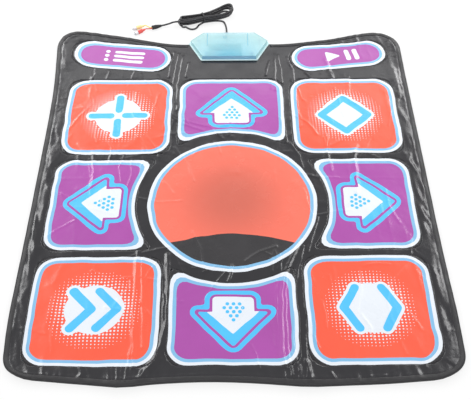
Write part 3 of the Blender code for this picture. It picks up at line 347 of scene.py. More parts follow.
def smooth_line(knots, spacing):
    """Evenly spaced points on a smooth curve through knots; the first and last only give directions."""
    fine = []
    for a, b, c, d in zip(knots, knots[1:], knots[2:], knots[3:]):
        for i in range(16):
            t = i / 16
            fine.append(0.5 * (2 * b + (c - a) * t + (2 * a - 5 * b + 4 * c - d) * t ** 2
                               + (3 * b - a - 3 * c + d) * t ** 3))
    fine.append(knots[-2])
    places = [0.0]
    for a, b in zip(fine, fine[1:]):
        places.append(places[-1] + (b - a).length)
    count = max(4, round(places[-1] / spacing))
    points = []
    k = 0
    for i in range(count + 1):
        target = places[-1] * i / count
        while k < len(fine) - 2 and places[k + 1] < target:
            k += 1
        points.append(fine[k].lerp(fine[k + 1], (target - places[k]) / (places[k + 1] - places[k])))
    return points


def line_length(points):
    """Length of a line through points."""
    return sum((b - a).length for a, b in zip(points, points[1:]))


def straight_through(point, step):
    """Three knots in a row, so that a line passes straight through a point."""
    return [point - step, point, point + step]


turns = round((HANK_LAST_TURN - HANK_FIRST_TURN) * HANK_POINTS_PER_TURN)
winding = []
for i in range(turns + 1):
    winding.append(hank_place(*hank_point(HANK_FIRST_TURN + (HANK_LAST_TURN - HANK_FIRST_TURN) * i / turns)))
entry = (winding[0] - winding[1]).normalized() * LEAD_DIAMETER
leaving = (winding[-1] - winding[-2]).normalized() * LEAD_DIAMETER
on_floor = LEAD_DIAMETER / 2 + TOUCH_GAP
lead_exit = Vector((RELIEF_X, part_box("strain_relief")[1][1] + TOUCH_GAP, RELIEF_Z))
sleeve_heading = Vector((*SLEEVE_HEADING, 0)).normalized()
sleeve_start = from_exit(*SLEEVE_START)

lead_knots = straight_through(lead_exit, Vector((0, LEAD_DIAMETER, 0)))
lead_knots += [from_exit(x, y, on_floor) for x, y in FLOOR_ROUTE]
lead_knots += [hank_place(*hank_point(turn)) for turn in FRONT_TURNS]
lead_knots += [hank_place(along, across, on_floor) for along, across in SIDE_LOOP]
lead_knots += [winding[0] + entry * 2, winding[0] + entry] + winding + [winding[-1] + leaving]
lead_knots += [from_exit(*point) for point in TAIL_ROUTE]
lead_knots += straight_through(sleeve_start, sleeve_heading * SLEEVE_LEAD_STRAIGHT)
lead_line = smooth_line(lead_knots, LEAD_STEP)
print("lead: %.3f m from the box to the sleeve" % line_length(lead_line))

# %% The lead as a round cord


def cord_curve(name, points, diameter, finish):
    """A round cord through points, as one open spline."""
    curve = bpy.data.curves.new(name, "CURVE")
    curve.dimensions = "3D"
    curve.bevel_depth = diameter / 2
    curve.bevel_resolution = 3
    curve.use_fill_caps = True
    spline = curve.splines.new("POLY")
    spline.points.add(len(points) - 1)
    for target, point in zip(spline.points, points):
        target.co = (*point, 1)
    curve.materials.append(finish)
    return put(name, curve)


cord_black = new_finish("cord_black", (54, 53, 56), (0.14, 0.24), bumps=((900.0, 0.00003),))
lead = cord_curve("lead", lead_line, LEAD_DIAMETER, cord_black)
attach(lead, "mat")
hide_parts("lead_to_hank", "lead_hank", "lead_tail")

# %% The tie round the hank


def hull(points):
    """Convex outline of flat points, counter-clockwise."""
    ordered = sorted(points)
    halves = []
    for row in (ordered, ordered[::-1]):
        half = []
        for p in row:
            while len(half) > 1 and ((half[-1][0] - half[-2][0]) * (p[1] - half[-2][1])
                                     <= (half[-1][1] - half[-2][1]) * (p[0] - half[-2][0])):
                half.pop()
            half.append(p)
        halves += half[:-1]
    return halves


def strands_at(along):
    """Where the winding crosses a place along the hank, as distances across and heights."""
    left, right = HANK_LEFT_RADIUS, HANK_LENGTH - HANK_RIGHT_RADIUS
    shares = ((right - along) / (right - left) / 4, 0.5 + (along - left) / (right - left) / 4)
    found = []
    for turn in range(int(HANK_LAST_TURN) + 1):
        for share in shares:
            if HANK_FIRST_TURN < turn + share < HANK_LAST_TURN:
                found.append(hank_point(turn + share)[1:])
    return found


def tie_ring(gap, side):
    """The outline of all the strands at the waist, kept off by a gap, at one side of the tie."""
    along = HANK_WAIST * HANK_LENGTH
    reach = LEAD_DIAMETER / 2 + gap
    cloud = []
    for across, height in strands_at(along):
        for i in range(20):
            turn = i * pi / 10
            cloud.append((across + reach * cos(turn), height + reach * sin(turn)))
    low = TIE_THICK * 0.1 + (TIE_THICK if gap == TIE_GAP else 0.0)
    edge = along + side * TIE_WIDTH / 2
    return [hank_place(edge, across, max(height, low)) for across, height in hull(cloud)]


band = bmesh.new()
sides = ((TIE_GAP, -1), (TIE_GAP, 1), (TIE_GAP + TIE_THICK, 1), (TIE_GAP + TIE_THICK, -1))
add_shell(band, [tie_ring(gap, side) for gap, side in sides], round_about=True)
tie_black = new_finish("tie_black", (44, 43, 46), (0.4, 0.5), bumps=((1200.0, 0.00008),))
tie = finished(band, "tie", [tie_black], 40)
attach(tie, "mat")
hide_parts("hank_tie")

# %% Two thin branches
BRANCH_SPREAD = 0.0022
BRANCH_STRAIGHT = 0.004
PLUG_AXIS_HEIGHT = 0.0050
BRANCH_STEP = 0.0012
BRANCHES = (
    ("red", (214, 74, 70), -1, (-0.2040, 0.0250), (-0.80, -0.60)),
    ("yellow", (250, 226, 120), 1, (-0.2070, 0.0395), (-0.90, -0.436)),
)
fork = sleeve_start + sleeve_heading * (SLEEVE_LENGTH + TOUCH_GAP)
beside_sleeve = Vector((sleeve_heading.y, -sleeve_heading.x, 0))
for name, colour, side, spot, aim in BRANCHES:
    ahead = Vector((*aim, 0)).normalized()
    leave = fork + beside_sleeve * side * BRANCH_SPREAD
    arrive = from_exit(*spot, PLUG_AXIS_HEIGHT) - ahead * TOUCH_GAP
    knots = straight_through(leave, sleeve_heading * BRANCH_STRAIGHT)
    knots += straight_through(arrive, ahead * BRANCH_STRAIGHT)
    branch = cord_curve(name + "_branch", smooth_line(knots, BRANCH_STEP), BRANCH_DIAMETER,
                        new_finish("cord_" + name, colour, (0.35, 0.45)))
    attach(branch, "mat")
    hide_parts(name + "_lead")

# %% [markdown]
# The set is a pale floor under soft light. The sky is plain white where it is seen or mirrored, and
# dimmer as a light, so that four soft lamps can model the creases.

# %% Floor, sky and lamps
SKY_LIGHT = 0.67
FLOOR_HALF = 6.0
FLOOR_GLOW = 1.06
FLOOR_WHITE_SHARE = 0.72

pale_floor = bpy.data.materials.new("pale_floor")
pale_floor.use_nodes = True
floor_tree = pale_floor.node_tree
grey = {"Base Color": (0.86, 0.86, 0.86, 1), "Roughness": 0.9, "Specular IOR Level": 0.1}
floor_grey = fill(floor_tree.nodes["Principled BSDF"], grey)
floor_white = add_node(floor_tree, "Emission", {"Strength": FLOOR_GLOW})
floor_seen = add_node(floor_tree, "LightPath").outputs["Is Camera Ray"]
floor_share = add_node(floor_tree, "MapRange", {"Value": floor_seen, "To Max": FLOOR_WHITE_SHARE})
floor_mix = add_node(floor_tree, "MixShader", {0: floor_share, 1: floor_grey, 2: floor_white})
fill(floor_tree.nodes["Material Output"], {"Surface": floor_mix})
corners = [(x * FLOOR_HALF, y * FLOOR_HALF, 0) for x, y in ((-1, -1), (1, -1), (1, 1), (-1, 1))]
mesh_piece("floor", corners, [], [(0, 1, 2, 3)], [pale_floor])

world = bpy.data.worlds.new("studio")
bpy.context.scene.world = world
world.use_nodes = True
sky_tree = world.node_tree
rays = add_node(sky_tree, "LightPath").outputs
seen = rays["Is Camera Ray"]
for kind in ("Is Glossy Ray", "Is Transmission Ray"):
    seen = add_node(sky_tree, "Math", {0: seen, 1: rays[kind]}, operation="ADD", use_clamp=True)
level = add_node(sky_tree, "MapRange", {"Value": seen, "To Min": SKY_LIGHT, "To Max": 1.0})
fill(sky_tree.nodes["Background"], {"Color": (1, 1, 1, 1), "Strength": level})


def strip_lamp(name, place, aim, size, power):
    """A rectangular soft lamp; size is its width and height."""
    lamp = bpy.data.lights.new(name, "AREA")
    lamp.shape = "RECTANGLE"
    lamp.size, lamp.size_y = size
    lamp.energy = power
    thing = put(name, lamp)
    thing.location = place
    thing.rotation_euler = (Vector(aim) - Vector(place)).to_track_quat("-Z", "Y").to_euler()


strip_lamp("back_lamp", (0.0, 2.05, 1.50), (0, 0.2, 0), (2.6, 0.40), 5.2)
strip_lamp("front_lamp", (0.0, -1.70, 1.60), (0, -0.3, 0), (2.0, 0.60), 7.5)
strip_lamp("left_lamp", (-1.04, 1.53, 1.24), (0, 1.53, 0), (2.3, 0.22), 15.5)
strip_lamp("right_lamp", (1.04, 1.53, 1.24), (0, 1.53, 0), (2.3, 0.22), 15.5)

# %% [markdown]
# The mat is a rounded square whose back edge steps forward beside the box. Its measures come from the
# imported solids, so the dressed mat and the solids agree.

# %% Measures of the mat
EDGE_LOW, EDGE_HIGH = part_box("edge_binding")
MAT_HALF_WIDTH = (EDGE_HIGH[0] - EDGE_LOW[0]) / 2
MAT_HALF_DEPTH = (EDGE_HIGH[1] - EDGE_LOW[1]) / 2
PAD_LOW, PAD_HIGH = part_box("pad_up_left")
PAD_HALF = (PAD_HIGH[0] - PAD_LOW[0]) / 2
PAD_PITCH = -middle_of("pad_up_left")[0]
DISC_Y = middle_of("pad_up_left")[1] - PAD_PITCH
MAT_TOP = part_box("top_sheet")[1][2]
MAT_CORNER_RADIUS = 0.062
BACK_STEP = 0.0405
BACK_STEP_OUTER_X = MAT_HALF_WIDTH - MAT_CORNER_RADIUS - 0.003
BOX_HALF_WIDE = (BOX_HIGH[0] - BOX_LOW[0]) / 2
BACK_STEP_INNER_X = BOX_HALF_WIDE + 0.010
BINDING_WIDTH = 0.011
STACK_INSET = 0.0009
PAD_GAP = 0.0005
VINYL_THICK = 0.0006
print("mat: %.0f by %.0f mm" % (MAT_HALF_WIDTH * 2000, MAT_HALF_DEPTH * 2000))

# %% Outlines seen from above


def arc(centre, radius, start, end, steps):
    """Points along an arc, both ends included, with angles in radians."""
    angles = [start + (end - start) * i / steps for i in range(steps + 1)]
    return [(centre[0] + radius * cos(a), centre[1] + radius * sin(a)) for a in angles]


def circle(centre, radius, steps=48):
    """A closed round outline."""
    return arc(centre, radius, 0, 2 * pi * (steps - 1) / steps, steps - 1)


def capsule(start, end, radius, steps=8):
    """A straight stroke with round ends."""
    ahead = atan2(end[1] - start[1], end[0] - start[0])
    return (arc(end, radius, ahead - pi / 2, ahead + pi / 2, steps)
            + arc(start, radius, ahead + pi / 2, ahead + 3 * pi / 2, steps))


def sides_of(corners):
    """The sides of a closed outline, each as its two end points."""
    return list(zip(corners, corners[1:] + corners[:1]))


def round_corners(points, radii, steps=5):
    """Replaces each corner of a polygon by an arc; radii is one radius or one for each corner."""
    corners = [Vector(p) for p in points]
    if not hasattr(radii, "__len__"):
        radii = [radii] * len(corners)
    result = []
    for before, corner, after, radius in zip(corners[-1:] + corners[:-1], corners,
                                             corners[1:] + corners[:1], radii):
        back = (before - corner).normalized()
        ahead = (after - corner).normalized()
        half = back.angle(ahead) / 2
        middle = corner + (back + ahead).normalized() * (radius / sin(half))
        start = corner + back * (radius / tan(half)) - middle
        end = corner + ahead * (radius / tan(half)) - middle
        turn = atan2(start.cross(end), start.dot(end))
        first = atan2(start.y, start.x)
        result += arc(middle, radius, first, first + turn, steps)
    return result


def inset_polygon(points, inset):
    """Moves each side of a counter-clockwise polygon inwards."""
    corners = [Vector(p) for p in points]
    sides = []
    for a, b in sides_of(corners):
        direction = (b - a).normalized()
        sides.append((a + Vector((-direction.y, direction.x)) * inset, direction))
    result = []
    for (p, d), (q, e) in zip(sides[-1:] + sides[:-1], sides):
        result.append(tuple(p + d * ((q - p).cross(e) / d.cross(e))))
    return result


def back_edge(x):
    """Y of the mat's back edge: an S-shaped step from the corners down to the control box."""
    share = (BACK_STEP_OUTER_X - abs(x)) / (BACK_STEP_OUTER_X - BACK_STEP_INNER_X)
    share = min(max(share, 0.0), 1.0)
    return MAT_HALF_DEPTH - BACK_STEP * (1 - cos(pi * share)) / 2


def straight(start, end, step):
    """Points from start to just before end."""
    count = max(1, ceil(dist(start, end) / step))
    return [(start[0] + (end[0] - start[0]) * i / count, start[1] + (end[1] - start[1]) * i / count)
            for i in range(count)]


def mat_side(inset, start_x, step):
    """Right half of the mat's edge, from beside the box round to the middle of the front."""
    corner_x = MAT_HALF_WIDTH - MAT_CORNER_RADIUS
    corner_y = MAT_HALF_DEPTH - MAT_CORNER_RADIUS
    radius = MAT_CORNER_RADIUS - inset
    bend = max(6, ceil(MAT_CORNER_RADIUS * pi / 2 / step))
    count = ceil((BACK_STEP_OUTER_X - BACK_STEP_INNER_X) / step)
    points = [(start_x, back_edge(0) - inset)]
    for i in range(count + 1):
        x = BACK_STEP_INNER_X + (BACK_STEP_OUTER_X - BACK_STEP_INNER_X) * i / count
        points.append((x, back_edge(x) - inset))
    points += arc((corner_x, corner_y), radius, pi / 2, 0, bend)
    count = ceil(2 * corner_y / step)
    points += [(MAT_HALF_WIDTH - inset, corner_y - 2 * corner_y * i / count) for i in range(1, count)]
    points += arc((corner_x, -corner_y), radius, 0, -pi / 2, bend)
    count = ceil(corner_x / step)
    return points + [(corner_x - corner_x * i / count, inset - MAT_HALF_DEPTH) for i in range(1, count)]


def mat_edge(inset, opening, step):
    """The mat's edge, open at the control box by a half width to each side of the box's middle."""
    right = mat_side(inset, BOX_X + opening, step)
    left = [(-x, y) for x, y in reversed(mat_side(inset, opening - BOX_X, step))]
    return right + [(0.0, inset - MAT_HALF_DEPTH)] + left


# %% Outline of the control box
BOX_FRONT_WIDTH = 0.135
BOX_BACK_WIDTH = 0.128
BOX_WIDE_Y = back_edge(0) + 0.002
BOX_CORNER_RADIUS = 0.004
BOX_LAP = 0.008


def box_corners(inset=0.0):
    """Corners of the six-sided box, counter-clockwise from its front left one."""
    return inset_polygon([
        (BOX_X - BOX_FRONT_WIDTH / 2, BOX_FRONT_Y), (BOX_X + BOX_FRONT_WIDTH / 2, BOX_FRONT_Y),
        (BOX_X + BOX_HALF_WIDE, BOX_WIDE_Y), (BOX_X + BOX_BACK_WIDTH / 2, BOX_BACK_Y),
        (BOX_X - BOX_BACK_WIDTH / 2, BOX_BACK_Y), (BOX_X - BOX_HALF_WIDE, BOX_WIDE_Y)], inset)


def stack_outline(inset, lap, step):
    """Outline of a layer of the mat: its edge drawn in, with the notch for the control box."""
    top = back_edge(0) - inset
    notch = box_corners(lap)
    slant = (top - notch[1][1]) / (notch[2][1] - notch[1][1])
    opening = notch[1][0] + (notch[2][0] - notch[1][0]) * slant - BOX_X
    return mat_edge(inset, opening, step) + [notch[0], notch[1]]


# %% Outlines of the step pads
CORNER_PAD_RADIUS = 0.030
ARROW_PAD_RADIUS = 0.028
ARROW_INNER_RADIUS = 0.018
ARROW_CLEAR_OF_CENTRE = 0.1985
MENU_PAD_LENGTH = 0.236
MENU_PAD_WIDTH = 0.092
MENU_PAD_TILT = radians(7.0)
MENU_PAD_X, MENU_PAD_Y, _ = middle_of("pad_menu_right")
LEAST_RADIUS = 0.004


def turned(points, angle, centre=(0.0, 0.0)):
    """Turns points about the origin and then shifts them."""
    c, s = cos(angle), sin(angle)
    return [(centre[0] + c * x - s * y, centre[1] + s * x + c * y) for x, y in points]


def corner_pad(inset=0.0, radius=CORNER_PAD_RADIUS):
    """A rounded square."""
    half = PAD_HALF - inset
    square = [(-half, -half), (half, -half), (half, half), (-half, half)]
    return round_corners(square, max(radius - inset, LEAST_RADIUS), 8)


def arrow_pad(inset=0.0, radius=ARROW_PAD_RADIUS, soft=ARROW_INNER_RADIUS):
    """A rounded square in front of the disc's centre, hollowed round the disc."""
    half = PAD_HALF - inset
    outer = PAD_PITCH + PAD_HALF - inset
    hollow = ARROW_CLEAR_OF_CENTRE + inset
    soft = max(soft - inset, LEAST_RADIUS)
    corner = Vector((half, sqrt(hollow ** 2 - half ** 2)))
    side = corner + Vector((0, soft))
    angle = atan2(corner.y, corner.x) + soft / hollow
    hollow_end = Vector((hollow * cos(angle), hollow * sin(angle)))
    right = []
    for i in range(6):
        t = i / 5
        p = hollow_end * (1 - t) ** 2 + corner * (2 * t * (1 - t)) + side * t ** 2
        right.append((p.x, p.y))
    radius = max(radius - inset, LEAST_RADIUS)
    right += arc((half - radius, outer - radius), radius, 0, pi / 2, 8)
    left = [(-x, y) for x, y in reversed(right)]
    return right + left + arc((0, 0), hollow, pi - angle, angle, 16)[1:-1]


def menu_pad(inset=0.0, length=MENU_PAD_LENGTH):
    """A pill with full round ends."""
    reach = (length - MENU_PAD_WIDTH) / 2
    return capsule((-reach, 0), (reach, 0), MENU_PAD_WIDTH / 2 - inset, 12)


# Each pad: name, ink, outline, turn, and the centre that its outline is drawn about
PADS = []
for quarter, name in enumerate(("up", "left", "down", "right")):
    PADS.append((name, "violet", arrow_pad, quarter * pi / 2, (0.0, DISC_Y)))
for column, row, name in ((-1, 1, "up_left"), (1, 1, "up_right"),
                          (-1, -1, "down_left"), (1, -1, "down_right")):
    PADS.append((name, "coral", corner_pad, 0.0, (column * PAD_PITCH, DISC_Y + row * PAD_PITCH)))
for side, name in ((-1, "menu_left"), (1, "menu_right")):
    PADS.append((name, "violet", menu_pad, side * MENU_PAD_TILT, (side * MENU_PAD_X, MENU_PAD_Y)))


def pad_outlines(inset):
    """Outlines of all ten pads where they lie, drawn in by an inset."""
    return [turned(outline(inset), turn, centre) for _, _, outline, turn, centre in PADS]


# %% [markdown]
# A mat that was folded in its carton never lies flat. One function lays every layer of it down. It
# shifts points a little in plan, lifts corners off the floor, and raises the skin along folds, fine
# wrinkles and the puckers beside the sewn edge. Because all layers use it, a fold runs on from the
# skin across the pads and the binding.

# %% How the mat lies

# Soft shifts in millimetres: place, reach across and along, and the shift in x, y and z
SHIFTS = (
    (-400, -480, 90, 24, 0, 16, 2),
    (-45, -480, 90, 22, 0, 7.5, 3),
    (400, -480, 80, 24, 0, 10, 2),
    (-195, -480, 26, 22, 0, -5, 2),
    (130, -480, 36, 22, 0, -4, 2),
    (-410, -440, 30, 45, 4, 0, 0),
    (410, -350, 30, 80, 3, 0, 0),
    (-345, -330, 45, 110, -6, 0, 0),
    (-410, 440, 45, 90, -11, 0, 2),
    (-395, 465, 40, 35, -4, 12, 4),
    (255, 470, 60, 30, 0, -8, 0),
    (400, 460, 60, 50, 0, 0, 3),
)

# Folds: how steep each is beside the others, and in millimetres its width and the places it passes through
FOLDS = (
    (1.0, 4.5, ((134, -165), (112, -215), (96, -250), (90, -300), (88, -367), (90, -440))),
    (1.0, 3, ((124, -190), (104, -225), (98, -290), (96, -345), (99, -430), (102, -456))),
    (1.0, 2.8, ((82, -260), (80, -330), (83, -430))),
    (0.9, 2.8, ((140, -180), (124, -240), (112, -290), (108, -387), (114, -450))),
    (1.0, 4.5, ((-185, -190), (-184, -300), (-179, -385), (-177, -440))),
    (1.0, 3.2, ((-174, -205), (-172, -260), (-166, -330), (-162, -400))),
    (1.0, 2.6, ((-194, -250), (-191, -310), (-181, -385), (-186, -440))),
    (1.0, 6, ((-122, -350), (-134, -416), (-162, -462))),
    (1.0, 2.8, ((-116, -390), (-128, -420), (-155, -464))),
    (1.0, 5, ((-127, -200), (-122, -270), (-121, -350))),
    (1.0, 3.4, ((-128, -290), (-127, -345), (-124, -400))),
    (1.0, 3, ((-262, 88), (-262, 44))),
    (1.0, 3.2, ((-114, 392), (-121, 325), (-125, 250), (-124, 207))),
    (1.0, 2.8, ((-125, 398), (-133, 330), (-136, 270))),
    (1.0, 2.8, ((-101, 366), (-106, 318))),
    (1.0, 2.8, ((-137, 404), (-144, 352), (-147, 318))),
    (1.0, 3, ((104, 398), (101, 309), (103, 270))),
    (1.0, 2.6, ((112, 392), (116, 340), (117, 296))),
    (1.0, 2.6, ((90, 372), (81, 322))),
    (1.0, 2.8, ((132, 384), (144, 340), (147, 309), (150, 204), (150, 150))),
    (1.0, 2.6, ((174, 333), (189, 308))),
    (1.0, 2.6, ((-226, 343), (-233, 312))),
    (1.0, 2.6, ((-288, 337), (-292, 312))),
    (1.0, 5, ((268, 90), (264, 82), (260, -7), (258, -40))),
    (1.0, 5, ((-300, 75), (-296, 57), (-292, 23), (-292, -20))),
    (0.4, 3, ((206, -1), (290, -3), (374, -2))),
    (0.4, 3, ((-400, -3), (-330, 2), (-250, -2))),
    (1.0, 5, ((225, 376), (236, 311))),
    (1.0, 3, ((405, 85), (385, 70), (378, 40), (392, 10))),
    (1.0, 4, ((-268, -441), (-264, -455), (-270, -466))),
    (1.0, 2.6, ((170, -452), (176, -468))),
    (1.0, 5, ((128, -430), (135, -468))),
)

# Clusters of fine pleats: place, half width, reach along, pleat spacing, height
PLEATS = (
    (-0.196, -0.458, 0.024, 0.030, 0.0074, 0.0009),
    (0.108, -0.452, 0.030, 0.034, 0.0070, 0.0009),
    (-0.320, -0.466, 0.030, 0.012, 0.0110, 0.0008),
    (0.250, -0.466, 0.050, 0.012, 0.0120, 0.0008),
)

SMALL_FOLDS = 150
SMOOTH_DISC = 0.130
FOLD_REACH = 1.55
FOLD_STEEPNESS = 0.385
FOLD_EASE = 1.9
FOLD_WOBBLE = 0.0012
LATTICE = 97


def small_folds():
    """Many short seeded folds all over the mat but on its disc, most of them from front to back."""
    chance = np.random.default_rng(21)
    folds = []
    for number in range(SMALL_FOLDS):
        x, y = chance.uniform(-0.40, 0.40), chance.uniform(-0.46, 0.30)
        length, bend = chance.uniform(0.025, 0.110), chance.uniform(-0.35, 0.35)
        angle = pi / 2 + chance.normal(0, 0.35)
        if number % 5 == 0:
            angle += pi / 2
        share, width = chance.uniform(0.75, 1.05), chance.uniform(0.0018, 0.0030)
        half = length / 2
        middle = (x + half * cos(angle), y + half * sin(angle))
        end = (middle[0] + half * cos(angle + bend), middle[1] + half * sin(angle + bend))
        if dist(middle, (0, DISC_Y)) > SMOOTH_DISC:
            folds.append((share, width, ((x, y), middle, end)))
    return folds


ALL_FOLDS = [(share, width / 1000, np.array(places) / 1000) for share, width, places in FOLDS] + small_folds()


def eased(share):
    """A share that starts and ends softly, held between 0 and 1."""
    share = np.clip(share, 0.0, 1.0)
    return share * share * (3 - 2 * share)


def lattice(x, y, seed):
    """Seeded random heights at the four corners round each point, and its shares of the way between."""
    heights = np.random.default_rng(seed).uniform(-1, 1, (LATTICE, LATTICE))
    i, j = np.floor(x).astype(int), np.floor(y).astype(int)
    corners = [heights[(i + a) % LATTICE, (j + b) % LATTICE] for a, b in ((0, 0), (1, 0), (0, 1), (1, 1))]
    return (*corners, x - i, y - j)


def lattice_noise(x, y, seed):
    """Smooth noise between -1 and 1."""
    near, right, ahead, far, u, v = lattice(x, y, seed)
    u, v = eased(u), eased(v)
    return (near * (1 - u) + right * u) * (1 - v) + (ahead * (1 - u) + far * u) * v


def facets(x, y, seed):
    """Noise between -1 and 1 made of flat triangles, as in crumpled vinyl."""
    near, right, ahead, far, u, v = lattice(x, y, seed)
    lower = near + u * (right - near) + v * (ahead - near)
    upper = far + (1 - u) * (ahead - far) + (1 - v) * (right - far)
    return np.where(u + v < 1, lower, upper)


def ridged(x, y, seed):
    """Noise with sharp crests, between 0 and 1."""
    return (1 - np.abs(lattice_noise(x, y, seed))) ** 4


def inside_by(x, y):
    """Distance inwards from the mat's edge."""
    share = eased((BACK_STEP_OUTER_X - np.abs(x)) / (BACK_STEP_OUTER_X - BACK_STEP_INNER_X))
    y = np.where(y > 0, y + BACK_STEP * share, y)
    across = np.abs(x) - (MAT_HALF_WIDTH - MAT_CORNER_RADIUS)
    along = np.abs(y) - (MAT_HALF_DEPTH - MAT_CORNER_RADIUS)
    outside = np.hypot(np.maximum(across, 0), np.maximum(along, 0))
    return MAT_CORNER_RADIUS - outside - np.minimum(np.maximum(across, along), 0)


def fold_height(x, y):
    """Folds with plane flanks, lower towards the sides of the mat, which the side lamps light as bands."""
    x = x + FOLD_WOBBLE * lattice_noise(x / 0.018, y / 0.018, 16)
    total = np.zeros_like(x)
    for share, width, places in ALL_FOLDS:
        reach = FOLD_REACH * width
        low = np.min(places, axis=0) - reach
        high = np.max(places, axis=0) + reach
        near = np.nonzero((x > low[0]) & (x < high[0]) & (y > low[1]) & (y < high[1]))[0]
        nearest = np.full(len(near), 1.0)
        for (x0, y0), (x1, y1) in zip(places, places[1:]):
            length = dist((x0, y0), (x1, y1))
            ux, uy = (x1 - x0) / length, (y1 - y0) / length
            along = np.clip((x[near] - x0) * ux + (y[near] - y0) * uy, 0, length)
            nearest = np.minimum(nearest, np.hypot(x[near] - x0 - along * ux, y[near] - y0 - along * uy))
        height = share * FOLD_STEEPNESS * reach * np.maximum(1 - nearest / reach, 0)
        total[near] = np.maximum(total[near], height)
    return total * (1 - FOLD_EASE * np.abs(x))


def pleat_height(x, y):
    """Clusters of fine pleats, where the seam gathers the skin."""
    total = np.zeros_like(x)
    for px, py, half, reach, spacing, height in PLEATS:
        across, along = x - px, y - py
        fan = across * (1 - 7.0 * along) + 0.0016 * lattice_noise(along / 0.022, along / 0.022, 11)
        crests = np.abs(np.cos(pi * fan / spacing)) ** 2
        fade = np.exp(-(across / half) ** 4 - (along / reach) ** 2)
        total += height * fade * crests * (0.65 + 0.35 * lattice_noise(fan / spacing, along / 0.030, 12))
    return total


# Heights of the kinds of small relief: puckers, bead, film, broad swell, crumples and roll
WRINKLE_HEIGHTS = (0.0006, 0.0007, 0.0009, 0.0006, 0.0012, 0.0013)
BEAD_DEPTH = BINDING_WIDTH + 0.0035
CRUMPLE_DEPTH = 0.022
ROLL_DEPTH = 0.025
BOX_OVAL = 1.45
LOOSE_DEPTH = 0.035
LOOSE_SHIFT = 0.0013


def wrinkle_height(x, y):
    """All the small relief of the skin, never below its flat level."""
    depth = inside_by(x, y)
    side = np.abs(x) / MAT_HALF_WIDTH > np.abs(y) / MAT_HALF_DEPTH
    puckers = np.where(side, ridged(x / 0.110, y / 0.020, 6), ridged(x / 0.020, y / 0.110, 5))
    puckers *= np.exp(-np.maximum(depth, 0) / 0.016)
    bead = 0.55 + 0.45 * lattice_noise(x / 0.035, y / 0.035, 10)
    bead *= np.exp(-((depth - BEAD_DEPTH) / 0.0022) ** 2)
    film = ridged(x / 0.026 + 0.3 * y / 0.075, y / 0.150, 7) * ridged(x / 0.060, y / 0.050, 8)
    broad = 0.5 + 0.5 * lattice_noise(x / 0.085, y / 0.085, 9)
    bent_x = x + 0.004 * lattice_noise(x / 0.03, y / 0.05, 17)
    crumples = 0.5 + 0.5 * facets(bent_x / 0.009 + y / 0.060, y / 0.042, 18)
    crumples *= np.exp(-(np.maximum(depth - CRUMPLE_DEPTH, 0) / 0.020) ** 2)
    roll = side * eased(0.6 + lattice_noise(x / 0.05, y / 0.055, 15))
    roll *= np.exp(-((depth - ROLL_DEPTH) / 0.010) ** 2)
    kinds = (puckers, bead, film, broad, crumples, roll)
    return sum(high * kind for high, kind in zip(WRINKLE_HEIGHTS, kinds))


def calm_beside_box(x, y, near, far):
    """0 under the control box and 1 away from it."""
    reach = np.hypot((x - BOX_X) / BOX_OVAL, y - (BOX_FRONT_Y + BOX_BACK_Y) / 2)
    return eased((reach - near) / (far - near))


def lie(points, height, ridges=1.0):
    """Lays flat points of the mat down. Height and ridges may be one number or one for each point."""
    x, y = np.asarray(points, float).T
    shift = np.zeros((3, len(x)))
    for px, py, across, along, *by in np.array(SHIFTS) / 1000:
        share = np.exp(-(((x - px) / across) ** 2 + ((y - py) / along) ** 2) / 2)
        shift += np.outer(by, share)
    loose = eased(inside_by(x, y) / LOOSE_DEPTH) * LOOSE_SHIFT
    shift[0] += loose * lattice_noise(x / 0.030, y / 0.024, 13)
    shift[1] += loose * lattice_noise(x / 0.024, y / 0.030, 14)
    shift *= calm_beside_box(x, y, 0.075, 0.170)
    relief = wrinkle_height(x, y) * calm_beside_box(x, y, 0.085, 0.190)
    relief += (fold_height(x, y) + pleat_height(x, y)) * calm_beside_box(x, y, 0.072, 0.092)
    return np.column_stack([x + shift[0], y + shift[1], height + shift[2] + ridges * relief])


# %% [markdown]
# Ink lies in the skin, so each print is a region of the sheet itself and not a shape stuck on top. The
# print outlines go into the triangulation as fixed lines, and each triangle takes the ink of the last
# outline that it lies in, as a screen printer lays one colour over another.

# %% Meshing a printed sheet
FINE_STEP = 0.0032
CREASE_SHARE = 0.5
ROUGH_STEP = 0.030
CREASE_LEAST = 0.00035


def spaced(loop, step):
    """The same closed outline with a point at least every step."""
    points = []
    for a, b in sides_of(loop):
        points += straight(a, b, step)
    return points


def within(spots, loop):
    """Which of many points lie inside a closed outline."""
    x, y = spots[:, 0], spots[:, 1]
    found = np.zeros(len(spots), bool)
    for (x0, y0), (x1, y1) in sides_of(loop):
        if y0 != y1:
            found ^= ((y0 > y) != (y1 > y)) & (x < (x1 - x0) * (y - y0) / (y1 - y0) + x0)
    return found


def creased(spots):
    """Which points lie on a fold or in pleats, where the mesh has to be finer."""
    x, y = np.asarray(spots).T
    return fold_height(x, y) + pleat_height(x, y) > CREASE_LEAST


def grid_points(low, high, step):
    """Staggered rows of points over a rectangle."""
    rows = np.arange(low[1], high[1], step * sqrt(3) / 2)
    points = []
    for number, y in enumerate(rows):
        points += [(x, y) for x in np.arange(low[0] + (number % 2) * step / 2, high[0], step)]
    return np.array(points)


